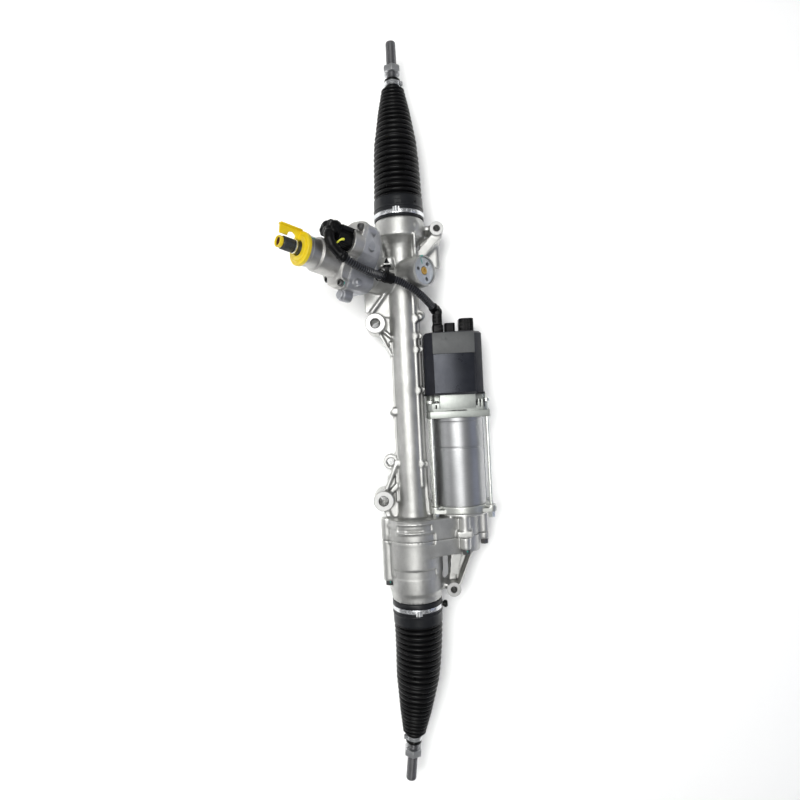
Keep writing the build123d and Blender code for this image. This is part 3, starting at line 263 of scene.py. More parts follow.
M["rubber"] = moulded("bellows_rubber", (0.0025, 0.0025, 0.0028), (0.0050, 0.0050, 0.0055), 0.26, 0.40, 0.25, 700, spec=0.22, dust=0.02)
M["collar"] = moulded("bellows_collar_rubber", (0.007, 0.008, 0.010), (0.013, 0.014, 0.017), 0.32, 0.46, 0.3, 700, spec=0.32, dust=0.02)
M["seal"] = moulded("seal_rubber", (0.003, 0.003, 0.003), (0.007, 0.007, 0.007), 0.45, 0.6, spec=0.2)
M["black"] = moulded("black_plastic", (0.0018, 0.0018, 0.0022), (0.0042, 0.0042, 0.0050), 0.28, 0.44, 0.35, 1300, spec=0.18, dust=0.02)
M["conduit"] = moulded("conduit_plastic", (0.004, 0.0045, 0.0075), (0.009, 0.010, 0.015), 0.24, 0.34, 0.3, 900, spec=0.55, dust=0.04)
# painted shade and highlight: rib valleys (low pointiness) go near black and rib crests lighter, replacing the
# conduit's base colour
_nt = M["conduit"].node_tree
_geo = _nt.nodes.new("ShaderNodeNewGeometry")
_ramp = _nt.nodes.new("ShaderNodeValToRGB")
_ramp.color_ramp.elements[0].position = 0.485
_ramp.color_ramp.elements[0].color = (0.0016, 0.0017, 0.0026, 1)
_ramp.color_ramp.elements[1].position = 0.535
_ramp.color_ramp.elements[1].color = (0.030, 0.032, 0.040, 1)
_nt.links.new(_geo.outputs["Pointiness"], _ramp.inputs["Fac"])
_nt.links.new(_ramp.outputs["Color"], [n for n in _nt.nodes if n.type == "BSDF_PRINCIPLED"][0].inputs["Base Color"])
M["ecu"] = moulded("control_housing_coat", (0.006, 0.007, 0.012), (0.012, 0.013, 0.021), 0.34, 0.48, 0.4, 900, spec=0.28, dust=0.02)
M["ecubarrel"] = cast_metal("control_housing_recess", (0.015, 0.017, 0.024), (0.028, 0.031, 0.042), 0.26, 0.36, metallic=0.45, grain=0.18, edges=0.1, flow=0.10)
# painted reflection: the raised panel is the same coat, given a lighter grey for its flat face's reflection
M["ecugrey"] = cast_metal("control_housing_panel_painted_sheen", (0.075, 0.078, 0.080), (0.115, 0.118, 0.120), 0.45, 0.58, metallic=0.2, grain=0.6, edges=0.2, flow=0.12)
M["yellow"] = moulded("yellow_plastic", (0.75, 0.54, 0.006), (0.88, 0.67, 0.018), 0.30, 0.42, 0.3, 500, spec=0.5)
M["orange"] = moulded("plug_centre", (0.42, 0.25, 0.05), (0.55, 0.34, 0.08), 0.4, 0.55, 0.4, 900)
M["lever"] = moulded("lock_lever", (0.72, 0.72, 0.05), (0.86, 0.86, 0.10), 0.35, 0.5, 0.2, 900)
M["teal"] = moulded("paint_mark", (0.0, 0.25, 0.20), (0.02, 0.40, 0.33), 0.35, 0.5, 0.5, 600)
# painted shade: near-black stand-in for the shade inside holes and slots
M["dark"] = moulded("painted_hole_shade", (0.012, 0.012, 0.012), (0.02, 0.02, 0.02), 0.6, 0.8)
M["natural"] = moulded("bearing_plastic", (0.62, 0.60, 0.53), (0.72, 0.70, 0.62), 0.4, 0.55)
M["board"] = moulded("board", (0.02, 0.14, 0.06), (0.03, 0.2, 0.09), 0.35, 0.5)
# painted shade: dark brown for the disc that closes the input shaft's tip bore, standing for the shade inside it
M["tipbore"] = moulded("tip_bore", (0.05, 0.018, 0.012), (0.09, 0.03, 0.02), 0.5, 0.65)
M["pins"] = turned_metal("contact_pins", (0.75, 0.62, 0.35), (0.85, 0.72, 0.45), 0.25, 0.35, (1, 1, 1))

FINISH = {
    "rack_bar": "steel", "pinion_shaft": "steel", "torsion_bar": "steel", "yoke": "steel", "ball_nut": "steel",
    "nut_balls": "steel", "nut_bearing": "steel", "pinion_lower_bearing": "steel", "pinion_upper_bearing": "steel",
    "input_bearing": "steel", "rotor_shaft": "steel", "rotor_bearings": "steel", "stator": "steel",
    "yoke_spring": "steel", "rack_bush": "natural", "ball_seat_left": "natural", "ball_seat_right": "natural",
    "ecu_board": "board", "drive_belt": "seal", "input_shaft_seal": "seal", "torque_sensor": "black",
    "nut_pulley": "black", "motor_pulley": "black",
}
for n, key in FINISH.items():
    o = NODES[n]
    o.data.materials.clear()
    o.data.materials.append(M[key])


# ------------------------------------------------------------------ mesh helpers (millimetres in, metres out)
def put(name, verts, faces, mat, body, slot=None, smooth=True, sharp=35, stand_for=(), loose=False):
    me = bpy.data.meshes.new(name)
    me.from_pydata([tuple(Vector(v) * 0.001) for v in verts], [], faces)
    me.validate()
    bm = bmesh.new()
    bm.from_mesh(me)
    bmesh.ops.recalc_face_normals(bm, faces=bm.faces)
    bm.to_mesh(me)
    bm.free()
    o = bpy.data.objects.new(name, me)
    bpy.context.scene.collection.objects.link(o)
    me.materials.append(M[mat])
    finish_mesh(o, smooth, sharp)
    if not loose:
        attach(o, body)
    if stand_for:
        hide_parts(*stand_for)
    return o


def finish_mesh(o, smooth=True, sharp=35):
    me = o.data
    me.polygons.foreach_set("use_smooth", [smooth] * len(me.polygons))
    if smooth and sharp:
        me.set_sharp_from_angle(angle=math.radians(sharp))
    me.update()


def basis(axis, xdir=None):
    a = Vector(axis).normalized()
    if xdir is None:
        xdir = Z3 if abs(a.z) < 0.9 else X3
    x = Vector(xdir)
    x = (x - a * x.dot(a)).normalized()
    return a, x, a.cross(x)


def lathe(profile, origin, axis, xdir=None, seg=96, closed=False):
    """profile: (distance along the axis, radius). closed joins the last point to the first."""
    a, x, y = basis(axis, xdir)
    o = Vector(origin)
    verts, faces, rings = [], [], []
    for d, r in profile:
        if r < 1e-6:
            rings.append([len(verts)])
            verts.append(o + a * d)
        else:
            rings.append(list(range(len(verts), len(verts) + seg)))
            for k in range(seg):
                t = 2 * math.pi * k / seg
                verts.append(o + a * d + x * (r * math.cos(t)) + y * (r * math.sin(t)))
    pairs = list(zip(rings, rings[1:]))
    if closed:
        pairs.append((rings[-1], rings[0]))
    for p, q in pairs:
        for k in range(seg):
            k2 = (k + 1) % seg
            if len(p) == 1 and len(q) == 1:
                continue
            if len(p) == 1:
                faces.append((p[0], q[k], q[k2]))
            elif len(q) == 1:
                faces.append((p[k], q[0], p[k2]))
            else:
                faces.append((p[k], q[k], q[k2], p[k2]))
    return verts, faces


def prism(pts, origin, xdir, ydir, depth):
    """Closed extrusion of a flat polygon, along xdir x ydir."""
    x, y = Vector(xdir).normalized(), Vector(ydir).normalized()
    z = x.cross(y)
    o = Vector(origin)
    n = len(pts)
    verts = [o + x * a + y * b for a, b in pts] + [o + x * a + y * b + z * depth for a, b in pts]
    faces = [tuple(reversed(range(n))), tuple(range(n, 2 * n))]
    faces += [(k, (k + 1) % n, (k + 1) % n + n, k + n) for k in range(n)]
    return verts, faces


def round_rect(w, h, r, c=(0, 0), steps=5):
    pts = []
    for cx, cy, a0 in ((w / 2 - r, h / 2 - r, 0), (-w / 2 + r, h / 2 - r, 90), (-w / 2 + r, -h / 2 + r, 180), (w / 2 - r, -h / 2 + r, 270)):
        for k in range(steps + 1):
            a = math.radians(a0 + 90 * k / steps)
            pts.append((c[0] + cx + r * math.cos(a), c[1] + cy + r * math.sin(a)))
    return pts


def box(lo, hi):
    a, b = Vector(lo), Vector(hi)
    return prism([(a.x, a.y), (b.x, a.y), (b.x, b.y), (a.x, b.y)], (0, 0, a.z), X3, Y3, b.z - a.z)


def rod(p, q, r, r2=None, seg=40):
    p, q = Vector(p), Vector(q)
    L = (q - p).length
    return lathe([(0, 0), (0, r), (L, r if r2 is None else r2), (L, 0)], p, q - p, seg=seg)


def rod_round(p, q, r, c=0.8, seg=48):
    """Rod with both rims rounded."""
    p, q = Vector(p), Vector(q)
    L = (q - p).length
    return lathe([(0, 0), (0, r - c), (c * 0.3, r - c * 0.3), (c, r), (L - c, r), (L - c * 0.3, r - c * 0.3), (L, r - c), (L, 0)], p, q - p, seg=seg)


def join(*parts):
    verts, faces = [], []
    for v, f in parts:
        k = len(verts)
        verts += list(v)
        faces += [tuple(i + k for i in g) for g in f]
    return verts, faces


def bevelled(o, width, seg=2, angle=30):
    m = o.modifiers.new("edge", "BEVEL")
    m.width = width * 0.001
    m.segments = seg
    m.limit_method = "ANGLE"
    m.angle_limit = math.radians(angle)
    m.harden_normals = False
    m.use_clamp_overlap = True
    return bake(o)


def bake(o):
    dg = bpy.context.evaluated_depsgraph_get()
    dg.update()
    me = bpy.data.meshes.new_from_object(o.evaluated_get(dg), depsgraph=dg)
    old = o.data
    o.modifiers.clear()
    o.data = me
    bpy.data.meshes.remove(old)
    finish_mesh(o)
    return o


def copy_of(node, name, extra=None):
    """A new object with a CAD node's mesh, doubled vertices joined."""
    src = NODES[node]
    me = src.data.copy()
    bm = bmesh.new()
    bm.from_mesh(me)
    bmesh.ops.remove_doubles(bm, verts=bm.verts, dist=2e-6)
    bm.to_mesh(me)
    bm.free()
    if extra:
        v, f = extra
        k = len(me.vertices)
        co = [tuple(x.co) for x in me.vertices] + [tuple(Vector(p) * 0.001) for p in v]
        fs = [tuple(p.vertices) for p in me.polygons] + [tuple(i + k for i in g) for g in f]
        me = bpy.data.meshes.new(name)
        me.from_pydata(co, [], fs)
    me.name = name
    if me.has_custom_normals:
        me.attributes.remove(me.attributes["custom_normal"]) if "custom_normal" in me.attributes else None
    me.materials.clear()
    o = bpy.data.objects.new(name, me)
    bpy.context.scene.collection.objects.link(o)
    return o


def crisp(node, mat, width=0.4, seg=2, name=None, angle=30, extra=None):
    """Machined or moulded part: the CAD shape with its edges broken."""
    o = copy_of(node, name or node + "_shown", extra)
    bm = bmesh.new()
    bm.from_mesh(o.data)
    bmesh.ops.remove_doubles(bm, verts=bm.verts, dist=2e-6)
    bmesh.ops.dissolve_limit(bm, angle_limit=math.radians(1.2), verts=bm.verts, edges=bm.edges)
    bm.to_mesh(o.data)
    bm.free()
    o.data.materials.append(M[mat])
    bevelled(o, width, seg, angle)
    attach(o, BODY_OF[node])
    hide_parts(node)
    return o


def cast(node, mat, voxel=1.0, smooth=4, factor=0.5, extra=None, cut=None, name=None):
    """Casting: the CAD shape and its extra ribs and pads grown into one skin with soft fillets."""
    o = copy_of(node, name or node + "_shown", extra)
    if cut:
        v, f = cut
        me = bpy.data.meshes.new("cutter")
        me.from_pydata([tuple(Vector(p) * 0.001) for p in v], [], f)
        bm = bmesh.new()
        bm.from_mesh(me)
        bmesh.ops.recalc_face_normals(bm, faces=bm.faces)
        bm.to_mesh(me)
        bm.free()
        c = bpy.data.objects.new("cutter", me)
        bpy.context.scene.collection.objects.link(c)
        # grown skin first, then the cut, then the skin again
        r = o.modifiers.new("skin", "REMESH")
        r.mode = "VOXEL"
        r.voxel_size = voxel * 0.001
        k = o.modifiers.new("cut", "BOOLEAN")
        k.operation = "DIFFERENCE"
        k.solver = "EXACT"
        k.object = c
        bake(o)
        bpy.data.objects.remove(c)
    r = o.modifiers.new("skin", "REMESH")
    r.mode = "VOXEL"
    r.voxel_size = voxel * 0.001
    s = o.modifiers.new("soft", "SMOOTH")
    s.factor = factor
    s.iterations = smooth
    o.data.materials.append(M[mat])
    bake(o)
    o.data.materials.clear()
    o.data.materials.append(M[mat])
    finish_mesh(o, True, 0)
    print("cast", node, len(o.data.polygons))
    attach(o, BODY_OF[node])
    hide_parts(node)
    return o


# ------------------------------------------------------------------ castings
EYES = [(121.1, 39.5), (-121.1, 39.5)]
SMALL = [(249.2, -51.0), (-249.2, -51.0)]



def sector(x0, x1, r0, r1, a0, a1, na=24):
    """Curved block round the rack's axis, angles in degrees from +Z towards +Y."""
    verts, faces = [], []
    for i in range(na + 1):
        a = math.radians(a0 + (a1 - a0) * i / na)
        for x, r in ((x0, r0), (x1, r0), (x1, r1), (x0, r1)):
            verts.append(rr(x, r * math.sin(a), r * math.cos(a)))
    for i in range(na):
        k = 4 * i
        for j in range(4):
            faces.append((k + j, k + (j + 1) % 4, k + 4 + (j + 1) % 4, k + 4 + j))
    faces.append((0, 1, 2, 3))
    faces.append((4 * na + 3, 4 * na + 2, 4 * na + 1, 4 * na))
    return verts, faces


def flat(z, pts, h):
    return prism(pts, rr(0, 0, z), X3, Y3, h)


rack_extra = join(
    sector(-152.6, -150.4, 37, 40.4, -39, 38), sector(-164.6, -162.2, 37, 40.3, -39, 38),
    sector(-164.6, -150.4, 37, 40.3, 34.8, 38), sector(-164.6, -150.4, 37, 40.3, -39, -35.6),
    flat(3.5, [(-112, -14), (-151, -14), (-151, -37), (-146, -36.5), (-124, -24)], 6),
    flat(3.5, [(-144.5, -16), (-151, -14), (-151, -33), (-147.5, -33.4)], 9))
PADS = [(125.8, -14.2, 5.6), (101.7, -13.9, 4.5), (83.1, -14.1, 4.5), (27.2, -14.6, 4.6), (-73.4, -14.0, 4.6)]
rack_extra = join(rack_extra,
    flat(2, [(-106, -13.6), (-106, -16.2), (150, -16.2), (172, -15.4), (172, -12.6), (150, -13.6)], 14.4),
    flat(-6, [(103, 14), (138, 14), (138, 31), (122, 36), (104, 31)], 9),
    *[rod(rr(x, y, 6), rr(x, y, 16.9), r) for x, y, r in PADS],
    rod(rr(0, 18.6, 2), rr(0, 18.6, 13.4), 4.6), rod(rr(-71.5, 19.3, 2), rr(-71.5, 19.3, 13.4), 4.6))
rack_cut = join(
    sector(-162.2, -152.6, 38.75, 46, -35.6, 34.8), sector(-178, -164.7, 38.7, 46, -42, 58))
cast("rack_housing", "cast", 1.13, 3, 0.5, extra=rack_extra, cut=rack_cut)
cast("drive_housing", "cast", 1.0, 3, 0.5, cut=join(sector(-181, -175, 38.2, 46, -42, 58), sector(-227, -213.5, 36.3, 46, -46, 52)))
# stub standing free beside the tower
# painted shade: the sensor material is a darker copy of the cast aluminium
cast("sensor_housing", "sensor", 0.9, 3, 0.5, cut=prism([(-54, -11), (-36.4, -11), (-36.4, 11), (-54, 11)], wp(58, 0, 0), XD, P.cross(XD), 20.5))
cast("sensor_cover", "cover", 0.8, 3, 0.5)
cast("motor_front_flange", "flange", 0.8, 3, 0.5)


def eye_face(name, x, y, z0, z1, rb, ro, body):
    """Milled end faces of a mounting eye, one turned sleeve, and its bore wall near-black as painted shade inside the
    bore.
    """
    o = rr(x, y, 0)
    o.z = 0
    # painted shade: the bore wall is near-black
    put(name + "_bore", *lathe([(z0 + 0.6, rb), (z1 - 0.6, rb), (z1 - 0.5, rb + 0.4), (z0 + 0.5, rb + 0.4)], o, Z3, X3, 72, closed=True), "bore", body, "cast_aluminium", sharp=25)
    prof = [(z0 + 0.6, rb + 0.35), (z1 - 0.5, rb + 0.35), (z1 - 0.1, rb + 0.6), (z1 + 0.08, rb + 0.8), (z1 + 0.08, ro - 0.35), (z1 - 0.2, ro), (z1 - 2.0, ro - 0.1),
            (z1 - 2.4, ro - 2.5), (z0 + 2.4, ro - 2.5), (z0 + 2.0, ro - 0.1), (z0 + 0.2, ro), (z0, ro - 0.35), (z0, rb + 0.8)]
    v, f = lathe(prof, o, Z3, X3, 72, closed=True)
    return put(name, v, f, "milled", body, "cast_aluminium", sharp=25)


eye_face("main_eye_sleeve_left", 121.1, 39.5, 0.0, 44.0, 6.42, 13.3, "housing")
eye_face("main_eye_sleeve_right", -121.1, 39.5, 0.0, 44.0, 6.42, 13.3, "housing")
eye_face("small_eye_sleeve_left", 249.2, -51.0, -5.0, 34.0, 4.25, 9.5, "housing")
eye_face("small_eye_sleeve_right", -249.2, -51.0, -5.0, 34.0, 4.25, 9.9, "housing")

# ------------------------------------------------------------------ crisp machined and moulded parts
crisp("motor_end_bracket", "bracket", 0.5, 2)
crisp("ecu_power_socket", "black", 0.4, 2)
crisp("ecu_signal_socket", "black", 0.35, 2)
crisp("ecu_harness_plug", "black", 0.5, 2)
v, f = lathe([(154.6, 19.35), (154.6, 20.4), (155.4, 21.0), (159.3, 21.1), (159.9, 20.7), (160.1, 19.8), (160.1, 17.0), (161.2, 16.6), (161.9, 15.4),
                (161.9, 9.9), (161.3, 9.6), (156.4, 9.6), (156.4, 19.35)], A0, P, XD, 96, True)
put("transit_cap_shown", v, f, "yellow", "housing", "yellow_plastic", sharp=28, stand_for=("transit_cap",))
tab = [(157, 11), (157, 21.4), (158.6, 23.2), (160.5, 23.6), (188.0, 23.6), (188.5, 23.0), (188.5, 10.8), (177.6, 10.8)]
tab += [(171.8 + 5.8 * math.cos(math.radians(a)), 11.0 + 5.8 * math.sin(math.radians(a))) for a in range(10, 180, 10)]
tab += [(166.0, 10.4), (161.4, 10.2)]
o = put("transit_cap_tab", *prism([(a, b) for a, b in tab], A0 + U * 1.2, P, XD, 2.4), "yellow", "housing", "yellow_plastic", sharp=30, stand_for=("transit_cap",))
bevelled(o, 0.3, 2, 40)
o = put("transit_cap_fold", *prism([(157.6, 21.5), (188.5, 21.5), (188.5, 23.8), (158.6, 23.8)], A0 + U * 3.4, P, XD, 6.8), "yellow", "housing", "yellow_plastic", sharp=30, stand_for=("transit_cap",))
bevelled(o, 0.5, 2, 40)
# painted shade: a dark disc closes the shaft tip's bore in place of the shade inside it
put("shaft_tip_bore", *join(
    lathe([(185.0, 0), (185.0, 5.3), (188.15, 5.3), (188.15, 4.0), (186.0, 3.8), (186.0, 0)], A0, P, XD, 48)), "tipbore", "input", "steel", sharp=30)
put("shaft_groove", *lathe([(166.4, 8.0), (166.6, 8.42), (167.2, 8.5), (168.2, 8.5), (168.6, 8.3), (168.8, 7.8)], A0, P, XD, 64), "rod", "input", "steel", sharp=30)
crisp("input_shaft", "shaft", 0.12, 1, angle=40)
crisp("shaft_tip_ring", "yellow", 0.4, 2)
for side in ("left", "right"):
    crisp("ball_housing_" + side, "phosphate", 0.4, 2)
    crisp("lock_nut_" + side, "zinc", 0.5, 2)


# ------------------------------------------------------------------ motor
def motor_lathe(prof, seg=160, closed=False):
    return lathe(prof, rr(0, MY, MZ), X3, Z3, seg, closed)


put("motor_can_shown", *motor_lathe([
    (-133, 31.8), (-133, 34.5), (-131.5, 34.6), (-129, 34.6), (-57, 34.6), (-55.0, 34.6), (-54.5, 34.45), (-54.2, 33.9), (-52.7, 33.9), (-52.4, 34.45), (-51.9, 34.6), (-50, 34.6),
    (-21, 34.6), (-18.2, 34.6), (-17.4, 34.75), (-16.8, 35.3), (-15.6, 35.4), (-12.5, 35.4), (-12.5, 31.8)], 160, True),
    "can", "housing", "motor_steel", sharp=28, stand_for=("motor_can",))

RODS = [(MY + 38.2, MZ + 23), (MY - 38.2, MZ + 23), (MY + 38.2, MZ - 23), (MY - 38.2, MZ - 23)]
parts = []
for y, z in RODS:
    parts.append(lathe([(-150.5, 0), (-150.5, 4.2), (-149.9, 4.8), (-142.6, 4.8), (-142.5, 2.4), (8, 2.4)], rr(0, y, z), X3, Z3, 6))
    parts.append(lathe([(-142.5, 2.4), (8, 2.4), (8, 4.9), (8.4, 5.2), (12.2, 5.2), (13, 4.4), (13, 2.6), (11, 2.2), (11, 0)], rr(0, y, z), X3, Z3, 40))
put("motor_rods_shown", *join(*parts), "rod", "housing", "zinc_steel", sharp=30, stand_for=("motor_through_rods",))


# ------------------------------------------------------------------ bolts
def hex_bolt(origin, axis, flange_r, hex_r, h0, h1, shank_r, shank, seg=48):
    """Flange bolt. origin is the seat, axis points out of the head."""
    a, x, y = basis(axis)
    o = Vector(origin)
    fl = lathe([(-0.0, 0), (0.0, flange_r - 0.3), (0.3, flange_r), (h0 * 0.7, flange_r), (h0, hex_r * 1.06), (h0 + 0.2, 0)], o, a, x, seg)
    hv, hf = lathe([(h0 - 0.4, 0), (h0 - 0.4, hex_r * 1.155), (h1 - 0.9, hex_r * 1.155), (h1 - 0.35, hex_r * 1.08), (h1, hex_r * 0.92), (h1, hex_r * 0.62),
                    (h1 - 0.5, hex_r * 0.50), (h1 - 0.6, 0)], o, a, x, 6)
    parts = [fl, (hv, hf)]
    if shank:
        parts.append(lathe([(-shank, 0), (-shank, shank_r), (0.1, shank_r)], o, a, x, 24))
    return join(*parts)


parts = []
for (y, z), x in (((37, 10), -231), ((-69.4, 21.6), -191), ((-98.5, -8), -185), ((-30, -34), -205)):
    parts.append(hex_bolt(rr(x, y, z), -X3, 6.2, 4.9, 1.6, 7.3, 3.0, -157 - x + 0.0))
put("drive_bolts_shown", *join(*parts), "bolt", "housing", "zinc_steel", sharp=30, stand_for=("drive_housing_bolts",))

COVER_BOLTS = ((35, -44), (-30.5, -10.8), (27, 9), (-20.5, 17.5))
parts = []
for cx, cy in COVER_BOLTS:
    o = wp(100, cx, cy)
    parts.append(lathe([(0, 0), (0, 4.5), (0.2, 4.7), (0.9, 4.7), (1.2, 4.15), (4.3, 4.1), (4.9, 3.7), (5.2, 3.0), (5.2, 2.5), (5.0, 2.4)], o, P, XD, 48))
    parts.append(lathe([(5.0, 2.4), (2.3, 2.3), (2.1, 0)], o, P, XD, 6))
    parts.append(lathe([(-19, 0), (-19, 2.5), (0.1, 2.5)], o, P, XD, 24))
put("cover_bolts_shown", *join(*parts), "bolt", "housing", "zinc_steel", sharp=30, stand_for=("sensor_cover_bolts",))

parts = []
for y in (-28.5, 28.5):
    parts.append(lathe([(0, 0), (0, 3.0), (2.4, 3.0), (3.0, 2.5), (3.2, 1.8), (3.2, 1.5), (1.6, 1.4), (1.6, 0)], rr(8, MY + 1.5 + y, MZ + 28.2), X3, Z3, 36))
put("bracket_screws_shown", *join(*parts), "bolt", "housing", "zinc_steel", sharp=30, stand_for=("bracket_screws",))

# ------------------------------------------------------------------ yoke plug
YO = Vector((187, RY, RZ))
plug_disc = lathe([(34, 0), (34, 18.3), (42.6, 18.4), (43.3, 18.0), (43.6, 17.2), (43.6, 6.2), (43.2, 5.9), (42.4, 5.2), (41.4, 4.95), (41.2, 0)], YO, U, X3, 96)
o = put("yoke_plug_shown", *plug_disc, "plug", "housing", "plug_metal", sharp=25, stand_for=("yoke_plug",), loose=True)
holes = []
for k in range(3):
    a = math.radians((-33, 82, 200)[k])
    ca, sa = math.cos(a), math.sin(a)
    kid = [(ca * (11.6 + 2.9 * math.cos(t)) - sa * 2.5 * math.sin(t), sa * (11.6 + 2.9 * math.cos(t)) + ca * 2.5 * math.sin(t))
           for t in [2 * math.pi * i / 20 for i in range(20)]]
    holes.append(prism(kid, YO + U * 38.5, X3, U.cross(X3), 8))
hv, hf = join(*holes)
hm = bpy.data.meshes.new("holes")
hm.from_pydata([tuple(Vector(p) * 0.001) for p in hv], [], hf)
ho = bpy.data.objects.new("holes", hm)
bpy.context.scene.collection.objects.link(ho)
bm_ = o.modifiers.new("holes", "BOOLEAN")
bm_.operation = "DIFFERENCE"
bm_.solver = "EXACT"
bm_.object = ho
bake(o)
finish_mesh(o, True, 25)
bpy.data.objects.remove(ho)
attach(o, "housing")
put("yoke_centre_shown", *join(
    lathe([(41.3, 0), (41.3, 4.85), (43.9, 4.85), (44.4, 4.4), (44.6, 3.6), (44.6, 2.6), (44.2, 2.3)], YO, U, X3, 48),
    lathe([(44.2, 2.3), (42.6, 2.1), (42.5, 0)], YO, U, X3, 6)), "orange", "housing", "yellow_plastic", sharp=30, stand_for=("yoke_plug_cap",))
put("yoke_bore_lip", *lathe([(43.2, 18.5), (44.9, 18.55), (45.15, 18.9), (45.15, 20.3), (44.9, 20.8), (43.4, 21.0)], YO, U, X3, 96, True), "milled", "housing", "cast_aluminium", sharp=25)
# painted shade: near-black discs set into the plug's three holes stand for the shade at their floor
parts = []
for k in range(3):
    a = math.radians((-33, 82, 200)[k])
    parts.append(lathe([(39.4, 0), (39.4, 2.7), (39.8, 2.7), (40.2, 2.2), (40.2, 0)], YO + X3 * (11.6 * math.cos(a)) + U.cross(X3) * (11.6 * math.sin(a)), U, X3, 24))
put("yoke_plug_hole_shade", *join(*parts), "dark", "housing", "plug_metal", sharp=30)

# ------------------------------------------------------------------ bellows
def interp(pts, x):
    for (x0, y0), (x1, y1) in zip(pts, pts[1:]):
        if x <= x1:
            return y0 + (y1 - y0) * max(0.0, min(1.0, (x - x0) / (x1 - x0)))
    return pts[-1][1]


def bend_right(x):
    """Sideways offset and slope of the swung bellows at distance x from the middle."""
    if x <= 292:
        return 0.0, 0.0
    if x >= 446:
        return 12.9 + 0.1175 * (x - 446), 0.1175
    L, t = 154.0, (x - 292) / 154.0
    y = 12.9 * (3 * t * t - 2 * t ** 3) + 0.1175 * L * (t ** 3 - t * t)
    return y, (12.9 * (6 * t - 6 * t * t) + 0.1175 * L * (3 * t * t - 2 * t)) / L


def shell(name, outer, inner, left, body, seg=112, loose=True):
    """Closed tube wall along the bellows' centre line. outer and inner: (distance, radius)."""
    verts, faces, n = [], [], 0
    ring = list(outer) + list(reversed(inner))
    for x, r in ring:
        if left:
            c, tangent = Vector((x, RY, RZ)), X3
        else:
            y, sl = bend_right(x)
            c, tangent = Vector((-x, RY + y, RZ)), Vector((-1, sl, 0)).normalized()
        side = Z3.cross(tangent).normalized()
        for k in range(seg):
            a = 2 * math.pi * k / seg
            verts.append(c + Z3 * (r * math.cos(a)) + side * (r * math.sin(a)))
        n += 1
    for i in range(n):
        j = (i + 1) % n
        for k in range(seg):
            k2 = (k + 1) % seg
            faces.append((i * seg + k, j * seg + k, j * seg + k2, i * seg + k2))
    return put(name, verts, faces, "rubber", body, "bellows_rubber", sharp=50, loose=loose)


CREST = [(293, 33.7), (350, 31.4), (372, 29.8), (417, 22.3), (446, 16.3)]


def pleats(x0, x1):
    """Outer line: broad crests and narrow valleys, the pitch shorter on the taper."""
    ph, x, out = 0.0, 292.0, []
    step = 0.55
    while x <= 446.001:
        pitch = 7.4 if x < 392 else 7.4 - 1.9 * min(1.0, (x - 392) / 20)
        out.append((x, ph))
        ph += step / pitch
        x += step
    total = round(out[-1][1])
    out = [(x, p * total / out[-1][1]) for x, p in out]
    res = []
    for x, p in out:
        deep = 4.3 - 1.3 * max(0.0, min(1.0, (x - 350) / 90))
        fade = min(1.0, (x - 292) / 3.0)
        w = abs(math.cos(math.pi * p)) ** 0.85
        res.append((x, interp(CREST, x) - deep * fade * (1 - w)))
    return [q for q in res if x0 - 0.01 <= q[0] <= x1 + 0.01]


